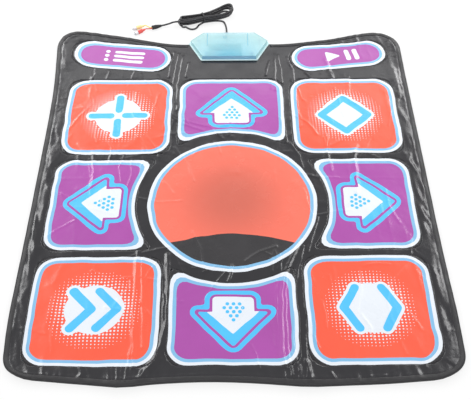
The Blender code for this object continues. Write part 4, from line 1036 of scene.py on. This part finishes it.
def sheet_points(loops, step):
    """Points of all outlines, the edges that join them, and a grid that keeps clear of them."""
    points, edges = [], []
    for loop in loops:
        first = len(points)
        points += spaced(loop, step)
        last = len(points) - 1
        edges += [(i, i + 1) for i in range(first, last)] + [(last, first)]
    tree = kdtree.KDTree(len(points))
    for i, (x, y) in enumerate(points):
        tree.insert((x, y, 0), i)
    tree.balance()
    low, high = np.min(points, axis=0), np.max(points, axis=0)
    grids = [(grid_points(low, high, step), step, False)]
    if step < ROUGH_STEP:
        fine = step * CREASE_SHARE
        grids.append((grid_points(low, high, fine), fine, True))
    for grid, spacing, wanted in grids:
        if step < ROUGH_STEP:
            grid = grid[creased(grid) == wanted]
        points += [(x, y) for x, y in grid.tolist() if tree.find((x, y, 0))[2] > 0.6 * spacing]
    return points, edges


def printed_sheet(name, outline, finishes, height, thickness, step, holes=(), prints=(), ridges=1.0):
    """A sheet with its top at a height. Prints are pairs of a finish number and a closed outline."""
    points, edges = sheet_points([outline, *holes, *(shape for _, shape in prints)], step)
    verts, _, faces, *_ = delaunay_2d_cdt([Vector(p) for p in points], edges, [], 0, 1e-7, False)
    flat = np.array([(v.x, v.y) for v in verts])
    faces = np.array(faces)
    middle = flat[faces].mean(axis=1)
    kept = within(middle, outline)
    for hole in holes:
        kept &= ~within(middle, hole)
    faces, middle = faces[kept], middle[kept]
    ink = np.zeros(len(faces), int)
    for number, shape in prints:
        ink[within(middle, shape)] = number
    used = np.unique(faces)
    place = np.full(len(flat), -1)
    place[used] = np.arange(len(used))
    sheet = mesh_piece(name, lie(flat[used], height, ridges).tolist(), [], place[faces].tolist(), finishes)
    sheet.data.polygons.foreach_set("material_index", ink)
    wall = sheet.modifiers.new("thickness", "SOLIDIFY")
    wall.thickness = thickness
    wall.offset = -1.0
    return shaded(sheet)


# %% Vinyl skin and its inks


def vinyl(name, colour, rough, mottle, crumple):
    """Soft vinyl with bumps from broad creases down to fine grain."""
    bumps = ((26.0, 2.0 * crumple), (80.0, 0.6 * crumple), (260.0, 0.08 * crumple), (1400.0, 0.000012))
    return new_finish(name, colour, rough, mottle=(9.0, mottle), rough_scale=22.0, bumps=bumps)


INKS = (
    vinyl("black_skin", (30, 29, 34), (0.14, 0.26), 0.10, 0.0005),
    vinyl("ink_white", (234, 240, 248), (0.24, 0.34), 0.02, 0.0004),
    vinyl("ink_blue", (80, 195, 251), (0.24, 0.34), 0.03, 0.0004),
    vinyl("ink_coral", (255, 94, 66), (0.18, 0.28), 0.04, 0.0004),
    vinyl("ink_violet", (172, 78, 168), (0.16, 0.26), 0.05, 0.0004),
    vinyl("ink_dark", (45, 43, 46), (0.22, 0.34), 0.10, 0.0004),
    vinyl("ink_disc", (255, 118, 97), (0.18, 0.30), 0.04, 0.0005),
    vinyl("ink_ring", (132, 190, 232), (0.18, 0.28), 0.03, 0.0004),
)
WHITE, BLUE, CORAL, VIOLET, DARK, DISC, RING = range(1, len(INKS))
tint_by_distance(INKS[DISC], (0, DISC_Y + 0.01), (1, 1), (0.0165, 0.165), (212, 104, 86), (255, 118, 97),
                 interpolation_type="SMOOTHSTEP")

# %% The skin with its middle disc
DISC_RADIUS = 0.1735
WHITE_RING = 0.0071
BLUE_RING = 0.0066
PRINT_INSET = 0.0004
DISC_FILL = DISC_RADIUS - WHITE_RING - BLUE_RING
SEGMENT_RISE = 0.022
EDGE_STEP = 0.01


def dark_segment():
    """The darker foot of the disc's print, under a low wide curve."""
    rim = arc((0, DISC_Y), DISC_FILL, radians(-140), radians(-40), 30)
    (x0, _), (x1, y1) = rim[0], rim[-1]
    crown = [(x1 + (x0 - x1) * i / 24, y1 + SEGMENT_RISE * sin(pi * i / 24)) for i in range(1, 24)]
    return rim + crown


rounds = ((WHITE, DISC_RADIUS), (RING, DISC_RADIUS - WHITE_RING), (DISC, DISC_FILL))
disc_prints = [(number, circle((0, DISC_Y), radius, 96)) for number, radius in rounds]
skin_edge = stack_outline(STACK_INSET, BOX_LAP, EDGE_STEP)
skin = printed_sheet("skin", skin_edge, INKS, MAT_TOP, VINYL_THICK, FINE_STEP, holes=pad_outlines(-PAD_GAP),
                     prints=disc_prints + [(DARK, dark_segment())])
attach(skin, "mat")
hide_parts("top_sheet")
print("skin: %d triangles" % len(skin.data.polygons))

# %% [markdown]
# Each pad carries a symbol. The corner pads have one drawn with a thick round stroke in a white halo.
# The arrow pads have a block arrow inside a blue ribbon. All are built from a few plain shapes.

# %% Shapes of the symbols
STROKE = 0.0165
HALO = 0.0055
CORE_RADIUS = 0.053


def ring_corners(count, radius):
    """Corners of a regular shape, the first one on its right."""
    angles = [2 * pi * i / count for i in range(count)]
    return [(radius * cos(a), radius * sin(a)) for a in angles]


# The strokes of each symbol: a plus, a diamond, two chevrons and a hexagon open at two sides
hexagon = sides_of(ring_corners(6, 0.050))
SYMBOLS = {
    "up_left": list(zip(ring_corners(4, 0.017), ring_corners(4, 0.058))),
    "up_right": sides_of(ring_corners(4, 0.052)),
    "down_left": [((x - 0.020, y), (x + 0.014, 0.0)) for x in (-0.020, 0.026) for y in (0.040, -0.040)],
    "down_right": [hexagon[0], hexagon[2], hexagon[3], hexagon[5]],
}

# %% Prints of one pad


def corner_prints(name):
    """A symbol in its white halo, with a white core."""
    prints = [(WHITE, circle((0, 0), CORE_RADIUS, 40))]
    for number, radius in ((WHITE, STROKE / 2 + HALO), (BLUE, STROKE / 2)):
        prints += [(number, capsule(start, end, radius)) for start, end in SYMBOLS[name]]
    return prints


# The arrow, drawn about the middle of its pad and pointing away from the disc
ARROW_TAIL_Y = -0.025
ARROW_WING_Y = 0.007
ARROW_HALF = 0.0385
ARROW_WING = 0.068
ARROW_TIP_Y = 0.080
HOUSE_WING = 0.049
HOUSE_TIP_Y = 0.0547
RIBBON_GAP = 0.0050
RIBBON_OUT = 0.0140


def arrow_outline(out, wing, tip, radii):
    """A block arrow with its sides moved outwards and its corners rounded."""
    shape = [(-ARROW_HALF, ARROW_TAIL_Y), (ARROW_HALF, ARROW_TAIL_Y), (ARROW_HALF, ARROW_WING_Y),
             (wing, ARROW_WING_Y), (0, tip), (-wing, ARROW_WING_Y), (-ARROW_HALF, ARROW_WING_Y)]
    return round_corners(inset_polygon(shape, -out), [radius / 1000 for radius in radii])


def arrow_prints():
    """A blue ribbon, a violet gap, and the arrow in blue with a white house inside; radii in millimetres."""
    arrow, house = (ARROW_WING, ARROW_TIP_Y), (HOUSE_WING, HOUSE_TIP_Y)
    shapes = (
        (BLUE, RIBBON_OUT, arrow, (20, 20, 5, 15, 19, 15, 5)),
        (VIOLET, RIBBON_GAP, arrow, (12, 12, 4, 6.5, 10, 6.5, 4)),
        (BLUE, 0, arrow, (7, 7, 1, 3, 4, 3, 1)),
        (WHITE, 0, house, (7, 7, 1, 1, 3, 1, 1)),
    )
    return [(number, turned(arrow_outline(out, *ends, radii), 0.0, (0.0, PAD_PITCH)))
            for number, out, ends, radii in shapes]


def menu_prints(name):
    """A list of three rows on the left, and play and pause on the right."""
    shapes = []
    if name == "menu_left":
        for y in (-0.015, 0.0, 0.015):
            shapes += [circle((-0.040, y), 0.0052, 16), capsule((-0.020, y), (0.044, y), 0.0046)]
    else:
        shapes.append(round_corners([(-0.030, -0.019), (0.006, 0.0), (-0.030, 0.019)], 0.003))
        shapes += [capsule((x, -0.014), (x, 0.014), 0.0058) for x in (0.022, 0.042)]
    return [(WHITE, shape) for shape in shapes]


# Radii or length of each kind of print, a little unlike those of its pad
PRINT_SIZES = {corner_pad: (0.044,), arrow_pad: (0.041, 0.046), menu_pad: (0.228,)}


def pad_prints(name, outline):
    """A white rim, a pale ring, the pad's own colour and its symbol."""
    own = CORAL if outline is corner_pad else VIOLET
    layers = ((WHITE, PRINT_INSET), (RING, WHITE_RING), (own, WHITE_RING + BLUE_RING))
    prints = [(number, outline(inset, *PRINT_SIZES[outline])) for number, inset in layers]
    if outline is arrow_pad:
        return prints + arrow_prints()
    return prints + (corner_prints(name) if outline is corner_pad else menu_prints(name))


# %% The ten step pads
pad_sheets = {}
for name, ink, outline, turn, centre in PADS:
    prints = [(number, turned(shape, turn, centre)) for number, shape in pad_prints(name, outline)]
    pad = printed_sheet("step_pad_" + name, turned(outline(), turn, centre), INKS, MAT_TOP, VINYL_THICK,
                        FINE_STEP, prints=prints)
    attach(pad, "step_" + name)
    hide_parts("pad_" + name)
    pad_sheets[name] = pad
print("pads: %d triangles in each" % len(pad_sheets["up_left"].data.polygons))

# %% [markdown]
# Printers make a soft edge from dots that shrink. A grid of points carries a radius for each dot, and
# Geometry Nodes put a small disc on every point, sink it into the skin below by a ray, and give it its
# ink. The same tree prints the blue dots on the arrows.

# %% A tree that prints dots


def new_tree(name, sizes):
    """A modifier tree with a geometry, a surface to lie on, an ink and named sizes."""
    tree = bpy.data.node_groups.new(name, "GeometryNodeTree")
    tree.is_modifier = True
    sockets = [("Points", "Geometry"), ("Surface", "Object"), ("Finish", "Material")]
    sockets += [(size, "Float") for size in sizes]
    for label, kind in sockets:
        tree.interface.new_socket(label, in_out="INPUT", socket_type="NodeSocket" + kind)
    tree.interface.new_socket("Pieces", in_out="OUTPUT", socket_type="NodeSocketGeometry")
    return tree, tree.nodes.new("NodeGroupInput").outputs


def close_tree(tree, pieces, finish):
    """Turns instances into real faces, gives them their finish and ends the tree."""
    real = add_node(tree, "GeometryNodeRealizeInstances", {"Geometry": pieces})
    inked = add_node(tree, "GeometryNodeSetMaterial", {"Geometry": real, "Material": finish})
    add_node(tree, "NodeGroupOutput", {"Pieces": inked})


def scattered(tree, points, piece, scale, **turned_by):
    """An instance of a piece on every point, sized by a number for each axis."""
    size = add_node(tree, "CombineXYZ", dict(enumerate(scale)))
    sockets = {"Points": points, "Instance": piece, "Scale": size, **turned_by}
    return add_node(tree, "GeometryNodeInstanceOnPoints", sockets)


def grown(name, carrier, tree, values):
    """Runs a tree on a carrier mesh and keeps the result as a plain mesh."""
    growth = carrier.modifiers.new("growth", "NODES")
    growth.node_group = tree
    for item in tree.interface.items_tree:
        if item.in_out == "INPUT" and item.name in values:
            growth[item.identifier] = values[item.name]
    ready = carrier.evaluated_get(bpy.context.evaluated_depsgraph_get())
    mesh = bpy.data.meshes.new_from_object(ready)
    mesh.name = name
    carrier.modifiers.remove(growth)
    bpy.data.objects.remove(carrier)
    return put(name, mesh)


def dot_tree():
    """Thin discs on points, each with its own radius, lowered onto a surface by a ray from above."""
    tree, given = new_tree("printed_dots", ("Thickness", "Lift"))
    disc = add_node(tree, "GeometryNodeMeshCylinder", {"Vertices": 10, "Radius": 1.0, "Depth": 1.0})
    radius = add_node(tree, "GeometryNodeInputNamedAttribute", {"Name": "radius"}, data_type="FLOAT")
    discs = scattered(tree, given["Points"], disc, (radius, radius, given["Thickness"]))
    real = add_node(tree, "GeometryNodeRealizeInstances", {"Geometry": discs})
    ground = add_node(tree, "GeometryNodeObjectInfo", {"Object": given["Surface"]}).outputs["Geometry"]
    place = add_node(tree, "GeometryNodeInputPosition")
    above = add_node(tree, "VectorMath", {0: place, 1: (0.0, 0.0, 0.1)})
    sockets = {"Target Geometry": ground, "Source Position": above, "Ray Direction": (0.0, 0.0, -1.0)}
    ray = add_node(tree, "GeometryNodeRaycast", {**sockets, "Ray Length": 1.0}).outputs
    landed = add_node(tree, "SeparateXYZ", {0: ray["Hit Position"]}).outputs["Z"]
    raised = add_node(tree, "Math", {0: landed, 1: given["Lift"]}, operation="ADD")
    offset = add_node(tree, "CombineXYZ", {"Z": raised})
    laid = add_node(tree, "GeometryNodeSetPosition", {"Geometry": real, "Offset": offset})
    close_tree(tree, laid, given["Finish"])
    return tree


# %% Dots round the corner symbols, and dots on the arrows
DOT_PITCH = 0.0067
DOT_REACH = (0.054, 0.087)
DOT_RADII = (0.0023, 0.0005)
DOT_ROWS = 13
DOT_SIZES = {"Thickness": 0.00016, "Lift": 0.00005}
ARROW_DOT_ROWS = (3, 4, 3, 2, 1)
ARROW_DOT_PITCH = (0.0113, 0.0086)
ARROW_DOT_RADIUS = 0.0036
ARROW_DOTS_START = -0.009
printed_dots = dot_tree()


def burst_dots(name):
    """Grid points round a symbol, smaller further out, and none where the symbol is printed."""
    taken = [shape for number, shape in corner_prints(name) if number == WHITE]
    rows = [i * DOT_PITCH for i in range(-DOT_ROWS, DOT_ROWS + 1)]
    dots = []
    for x, y in [(x, y) for x in rows for y in rows]:
        share = (hypot(x, y) - DOT_REACH[0]) / (DOT_REACH[1] - DOT_REACH[0])
        if share <= 1 and not any(within(np.array([(x, y)]), shape)[0] for shape in taken):
            dots.append((x, y, DOT_RADII[0] + (DOT_RADII[1] - DOT_RADII[0]) * max(share, 0.0)))
    return dots


def arrow_dots():
    """Rows of equal dots that narrow towards the tip of an arrow."""
    dots = []
    for row, count in enumerate(ARROW_DOT_ROWS):
        y = PAD_PITCH + ARROW_DOTS_START + row * ARROW_DOT_PITCH[1]
        dots += [((i - (count - 1) / 2) * ARROW_DOT_PITCH[0], y, ARROW_DOT_RADIUS) for i in range(count)]
    return dots


for name, ink, outline, turn, centre in PADS:
    if outline is menu_pad:
        continue
    dots = burst_dots(name) if outline is corner_pad else arrow_dots()
    spots = lie(turned([(x, y) for x, y, _ in dots], turn, centre), 0.0)
    carrier = mesh_piece("dots_" + name + "_points", [(x, y, 0.0) for x, y, _ in spots], [], [])
    radii = carrier.data.attributes.new("radius", "FLOAT", "POINT")
    radii.data.foreach_set("value", [radius for _, _, radius in dots])
    finish = INKS[WHITE if outline is corner_pad else BLUE]
    printed = grown("dots_" + name, carrier, printed_dots,
                    {"Surface": pad_sheets[name], "Finish": finish, **DOT_SIZES})
    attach(printed, "step_" + name)

# %% [markdown]
# Under the skin lie the layers that make the switches: a non-slip base, a foam sheet, a printed film,
# a spacer with an opening under each pad, and a contact on the underside of each pad.

# %% Layers inside the mat
CONTACT_INSET = 0.018
SPACER_ROOM = 0.0020
FILM_TAIL_WIDTH = 0.072
TAIL_PAST_BAR = 0.002
FILM_HOLE_RADIUS = 0.00155
GRIP_HEIGHT = 0.0005
layer_edge = stack_outline(STACK_INSET, BOX_LAP, ROUGH_STEP)

base_black = new_finish("base_black", (44, 44, 47), (0.6, 0.8), bumps=((300.0, 0.00012),))
foam_grey = new_finish("foam_grey", (150, 152, 156), (0.8, 0.95), bumps=((500.0, 0.0001),))
film_clear = new_finish("film_clear", (214, 220, 224), (0.3, 0.4))
carbon = new_finish("carbon", (40, 41, 43), (0.5, 0.6))


def inner_layer(name, node, outline, finishes, slot, body="mat", raised=0.0, **cuts):
    """One flat layer in place of its node. Its underside may be raised; cuts are its holes and prints."""
    low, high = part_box(node)
    sheet = printed_sheet(name, outline, finishes, high[2], high[2] - low[2] - raised, ROUGH_STEP, ridges=0.0,
                          **cuts)
    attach(sheet, body)
    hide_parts(node)
    return sheet


def film_outline():
    """The film's edge, with a tail that runs into the control box and under its clamp bar."""
    middle = middle_of("circuit_board")[0]
    left, right = middle - FILM_TAIL_WIDTH / 2, middle + FILM_TAIL_WIDTH / 2
    near, far = layer_edge[-1][1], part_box("film_clamp_bar")[1][1] + TAIL_PAST_BAR
    return layer_edge[:-1] + [(left, near), (left, far), (right, far), (right, near)] + layer_edge[-1:]


film_holes = [circle(middle_of("clamp_screw_%d" % number)[:2], FILM_HOLE_RADIUS, 12) for number in (1, 2)]
contact_shapes = pad_outlines(CONTACT_INSET)
film = inner_layer("contact_film", "lower_contact_film", film_outline(), [film_clear, carbon], "film",
                   holes=film_holes, prints=[(1, shape) for shape in contact_shapes])
base = inner_layer("non_slip_base", "base_sheet", layer_edge, [base_black], "non_slip", raised=GRIP_HEIGHT)
foam = inner_layer("foam", "foam_sheet", layer_edge, [foam_grey], "foam")
spacer = inner_layer("spacer", "spacer_sheet", layer_edge, [foam_grey], "foam",
                     holes=pad_outlines(-PAD_GAP - SPACER_ROOM))
for (name, *_), shape in zip(PADS, contact_shapes):
    inner_layer("upper_contact_" + name, "contact_" + name, shape, [carbon], "carbon", body="step_" + name)

# %% Grips under the mat
GRIP_PITCH = 0.0150
GRIP_RADIUS = 0.0028
GRIP_FOOT = 0.62
GRIP_SINK = 0.0004


def grip_tree():
    """Small rubber domes under the points of a grid."""
    tree, given = new_tree("grips", ("Radius", "Height"))
    cone = {"Vertices": 8, "Radius Top": 1.0, "Radius Bottom": GRIP_FOOT, "Depth": 1.0}
    dome = add_node(tree, "GeometryNodeMeshCone", cone)
    domes = scattered(tree, given["Points"], dome, (given["Radius"], given["Radius"], given["Height"]))
    close_tree(tree, domes, given["Finish"])
    return tree


# Staggered points that keep clear of the binding and of the control box
spots = grid_points((-MAT_HALF_WIDTH, -MAT_HALF_DEPTH), (MAT_HALF_WIDTH, MAT_HALF_DEPTH), GRIP_PITCH)
spots = spots[within(spots, stack_outline(BINDING_WIDTH + 0.008, -0.006, ROUGH_STEP))]
grip_points = mesh_piece("grip_points", lie(spots, 0.0, 0.0).tolist(), [], [])
grip_black = new_finish("grip_black", (34, 34, 37), (0.7, 0.9))
grips = grown("grips", grip_points, grip_tree(),
              {"Finish": grip_black, "Radius": GRIP_RADIUS, "Height": GRIP_HEIGHT + GRIP_SINK})
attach(grips, "mat")
print("grips: %d faces" % len(grips.data.polygons))

# %% [markdown]
# The edge of all the layers is wrapped in a woven tape. A flat tape folded round a soft edge bulges
# out a little, and it shows the pull of the seam.

# %% Edge binding
BINDING_TOP = EDGE_HIGH[2]
BINDING_LIFT = 0.0003
BINDING_LEAF = 0.0006
BINDING_END = BOX_HALF_WIDE + 0.0005


def binding_section():
    """Outline of the folded tape, as distances inwards from the edge and heights."""
    radius = (BINDING_TOP - BINDING_LIFT) / 2
    centre = (radius, BINDING_LIFT + radius)
    outside = arc(centre, radius, pi / 2, 3 * pi / 2, 10)
    inside = arc(centre, radius - BINDING_LEAF, 3 * pi / 2, pi / 2, 10)
    lip = ((BINDING_WIDTH, BINDING_LEAF), (BINDING_WIDTH, BINDING_LEAF / 2), (BINDING_WIDTH - 0.001, 0.0))
    top = [(inset, BINDING_TOP - drop) for inset, drop in lip]
    bottom = [(inset, BINDING_LIFT + rise) for inset, rise in reversed(lip)]
    return top + outside + bottom + inside


rings = []
for inset, z in binding_section():
    flat = mat_edge(inset, BINDING_END, FINE_STEP * 1.3)
    rings.append(lie(flat, z, ridges=1.0 if z > BINDING_TOP / 2 else 0.0))
tape = bmesh.new()
add_shell(tape, np.array(rings).transpose(1, 0, 2))
binding_black = new_finish("binding_black", (32, 31, 34), (0.36, 0.52),
                           bumps=((90.0, 0.0003), (900.0, 0.00012)))
binding = finished(tape, "binding_tape", [binding_black])
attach(binding, "mat")
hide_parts("edge_binding")

# %% [markdown]
# The tape is sewn on with a lock stitch, so the same row of stitches shows above and below. A line laid
# along the seam becomes a curve, and Geometry Nodes set a small rounded stitch on it every few
# millimetres, turned along the line.

# %% Stitches
STITCH_LENGTH = 0.0030
STITCH_PITCH = 0.0042
STITCH_RADIUS = 0.00034
SEAM_INSET = 0.0085
SEAM_STEP = 0.004
SEAM_END = BOX_HALF_WIDE + 0.004


def stitch_tree():
    """Small rounded stitches at even steps on a line, turned along it."""
    tree, given = new_tree("stitches", ("Pitch", "Length", "Radius"))
    line = add_node(tree, "GeometryNodeMeshToCurve", {"Mesh": given["Points"]})
    spacing = {"Curve": line, "Length": given["Pitch"]}
    even = add_node(tree, "GeometryNodeResampleCurve", spacing, mode="LENGTH")
    ahead = add_node(tree, "GeometryNodeInputTangent")
    turn = add_node(tree, "FunctionNodeAlignRotationToVector", {"Vector": ahead}, axis="X")
    bead = add_node(tree, "GeometryNodeMeshUVSphere", {"Segments": 6, "Rings": 5, "Radius": 1.0})
    half = add_node(tree, "Math", {0: given["Length"], 1: 0.5}, operation="MULTIPLY")
    beads = scattered(tree, even, bead, (half, given["Radius"], given["Radius"]), Rotation=turn)
    close_tree(tree, beads, given["Finish"])
    return tree


thread_black = new_finish("thread_black", (52, 51, 54), (0.45, 0.6), bumps=((2500.0, 0.00004),))
stitching = stitch_tree()
stitch_values = {"Finish": thread_black, "Pitch": STITCH_PITCH, "Length": STITCH_LENGTH,
                 "Radius": STITCH_RADIUS}
spots = mat_edge(SEAM_INSET, SEAM_END, SEAM_STEP)
links = [(i, i + 1) for i in range(len(spots) - 1)]
for side, height, ridges in (("top", BINDING_TOP, 1.0), ("bottom", STITCH_RADIUS, 0.0)):
    seam = mesh_piece("seam_" + side, lie(spots, height, ridges).tolist(), links, [])
    row = grown("stitches_" + side, seam, stitching, stitch_values)
    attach(row, "mat")
    print("stitches on the %s: %d faces" % (side, len(row.data.polygons)))

# %% [markdown]
# The cover of the control box is moulded in a clear blue plastic, 2 mm thick. Light that crosses it
# twice comes back pale, so the roof looks like thin milk glass and lets the board show through. Its
# steep walls look deeper, so they get their own finish. The edge of its flange gets a paler finish as a
# painted highlight, its slanted sides a paler one as painted light over their shade, and the roof is
# painted paler towards its rear and sides.

# %% Finishes of the clear cover
CLEAR = (
    new_finish("clear_roof", (186, 242, 255), (0.10, 0.20), mottle=(20.0, 0.03), rough_scale=60.0,
               bumps=((160.0, 0.0002),), Alpha=0.48),
    new_finish("clear_wall", (158, 216, 250), (0.10, 0.18), mottle=(20.0, 0.03), Alpha=0.60),
    # The flange's finish is paler and nearly opaque: a painted highlight along its edge
    new_finish("clear_rim_highlight", (226, 252, 255), (0.08, 0.16), mottle=(20.0, 0.02), Alpha=0.90),
    # The slanted sides' finish is paler and nearly opaque: painted light that lifts their shade
    new_finish("clear_slant_lit", (196, 248, 255), (0.10, 0.18), mottle=(20.0, 0.02), Alpha=0.97),
    new_finish("clear_mark", (120, 186, 208), (0.20, 0.30), mottle=(20.0, 0.02)),
)
ROOF, WALL, RIM_HIGHLIGHT, SLANT_LIT, MARK = range(5)
clear_tray = new_finish("clear_tray", (214, 252, 255), (0.2, 0.3), mottle=(20.0, 0.03), Alpha=0.86)

# Painted light: the roof is painted paler from its front to its rear and sides, where glare and the light
# that enters it brighten it
tint_by_distance(CLEAR[ROOF], (BOX_X, BOX_FRONT_Y), (0.115, BOX_BACK_Y - BOX_FRONT_Y), (0.15, 1.0),
                 (128, 210, 236), (222, 255, 255))

# %% The clear cover
COVER_BASE = BOX_LOW[2]
COVER_TOP = BOX_HIGH[2]
COVER_WALL = 0.002
CEILING = COVER_TOP - COVER_WALL
FLANGE_WIDTH = 0.003
FLANGE_THICK = 0.0016
COVER_DRAFT = 0.0012
COVER_ROUND = 0.0016
FLANGE_ROUND = 0.0004
SHARP_FROM = 30.0
CASE_SCREWS = ["case_screw_%d" % number for number in range(1, 5)]

# Posts for the case screws: radius and height of each ring; stiffeners and the gate's mark lie on the roof
POST_FOOT = COVER_BASE + 0.0004
POST = ((0.0038, CEILING), (0.0037, POST_FOOT), (0.0016, POST_FOOT), (0.0016, CEILING - 0.002))
STIFFENERS = (-0.053, 0.045)
GATE_SPOT = (BOX_X - 0.010, BOX_FRONT_Y + 0.075)
GATE_RING = ((0.0044, -0.0002), (0.0044, 0.00025), (0.0034, 0.00025), (0.0034, -0.0002))


def ring_at(inset, height):
    """The cover's outline, drawn in, at a height."""
    outline = round_corners(box_corners(inset), max(BOX_CORNER_RADIUS - inset / 2, 0.0012), 6)
    return [(x, y, height) for x, y in outline]


def round_rings(spot, steps):
    """Level circles about a spot; steps are pairs of a radius and a height."""
    return [[(x, y, height) for x, y in circle(spot, radius, 24)] for radius, height in steps]


def quarter_rings(inset, height, radius):
    """Rings round an edge from its side up to its top."""
    angles = [pi / 2 * i / 4 for i in range(5)]
    return [ring_at(inset + radius * (1 - cos(a)), height - radius * (1 - sin(a))) for a in angles]


def add_bar(bm, low, high, finish):
    """A box between two corners, as a rib inside the cover."""
    made = bmesh.ops.create_cube(bm, size=1.0)["verts"]
    middle = (Vector(low) + Vector(high)) / 2
    size = Vector(high) - Vector(low)
    for vert in made:
        vert.co = middle + Vector([a * b for a, b in zip(vert.co, size)])
    for face in {face for vert in made for face in vert.link_faces}:
        face.material_index = finish


def build_cover():
    """From the inside of the roof down to the foot, and up outside it over the flange to the roof again."""
    shoulder = COVER_BASE + FLANGE_THICK
    drawn_in = FLANGE_WIDTH + COVER_DRAFT
    rings = quarter_rings(drawn_in + COVER_WALL, CEILING, COVER_ROUND / 2)[::-1]
    rings.append(ring_at(FLANGE_WIDTH + COVER_WALL, COVER_BASE))
    rings += [ring_at(FLANGE_ROUND, COVER_BASE), ring_at(0, COVER_BASE + FLANGE_ROUND)]
    rings += quarter_rings(0, shoulder, FLANGE_ROUND)
    rings += [ring_at(FLANGE_WIDTH - 0.0005, shoulder), ring_at(FLANGE_WIDTH, shoulder + 0.0004)]
    rings += quarter_rings(drawn_in, COVER_TOP, COVER_ROUND)
    # The flange takes the paler finish, painted as a highlight
    bands = [WALL] * 5 + [RIM_HIGHLIGHT] * 9 + [WALL] * 2 + [ROOF] * 3
    bm = bmesh.new()
    add_shell(bm, rings, ROOF, bands)
    bm.normal_update()
    # Wall faces that turn to the sides take the slant finish, painted paler over their shade
    for face in bm.faces:
        if face.material_index == WALL and abs(face.normal.x) > 0.3:
            face.material_index = SLANT_LIT
    for name in CASE_SCREWS:
        add_shell(bm, round_rings(middle_of(name)[:2], POST), WALL)
    for x in STIFFENERS:
        add_bar(bm, (BOX_X + x - 0.0007, BOX_FRONT_Y + 0.045, CEILING - 0.0038),
                (BOX_X + x + 0.0007, BOX_BACK_Y - 0.0080, COVER_TOP + 0.00015), MARK)
    gate = [(radius, COVER_TOP + rise) for radius, rise in GATE_RING]
    add_shell(bm, round_rings(GATE_SPOT, gate), MARK, round_about=True)
    return finished(bm, "clear_cover", CLEAR, SHARP_FROM)


cover = build_cover()
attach(cover, "mat")
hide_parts("box_upper_shell")
print("cover: %d faces" % len(cover.data.polygons))

# %% [markdown]
# The carried-over solids of the board, the tray and the plugs get real finishes here.

# %% Finishes of the hard parts
steel = new_finish("steel", (206, 206, 208), (0.25, 0.35), Metallic=1.0)
plug_metal = new_finish("plug_metal", (232, 232, 236), (0.35, 0.50), Metallic=0.5)
plug_red = new_finish("plug_red", (232, 92, 88), (0.3, 0.4))
plug_yellow = new_finish("plug_yellow", (253, 234, 165), (0.3, 0.4))
HARD_PARTS = (
    (clear_tray, ("box_lower_shell", "film_clamp_bar")),
    (new_finish("board_green", (30, 150, 136), (0.4, 0.5)), ("circuit_board",)),
    (new_finish("black_plastic", (36, 36, 38), (0.4, 0.5)), ("controller_chip", "filter_capacitor")),
    (new_finish("white_plastic", (236, 236, 230), (0.4, 0.5)), ("lead_socket",)),
    (new_finish("rubber_black", (32, 32, 34), (0.5, 0.6)), ("strain_relief", "split_sleeve")),
    (steel, ("resonator", "clamp_screw_1", "clamp_screw_2", *CASE_SCREWS)),
    (cord_black, ("inner_lead",)),
    (plug_metal, ("red_plug_contact", "yellow_plug_contact")),
    (plug_red, ("red_plug_body", "status_light")),
    (plug_yellow, ("yellow_plug_body",)),
)
for finish, names in HARD_PARTS:
    for name in names:
        if not nodes[name].material_slots:
            nodes[name].data.materials.append(finish)
        for slot in nodes[name].material_slots:
            slot.material = finish
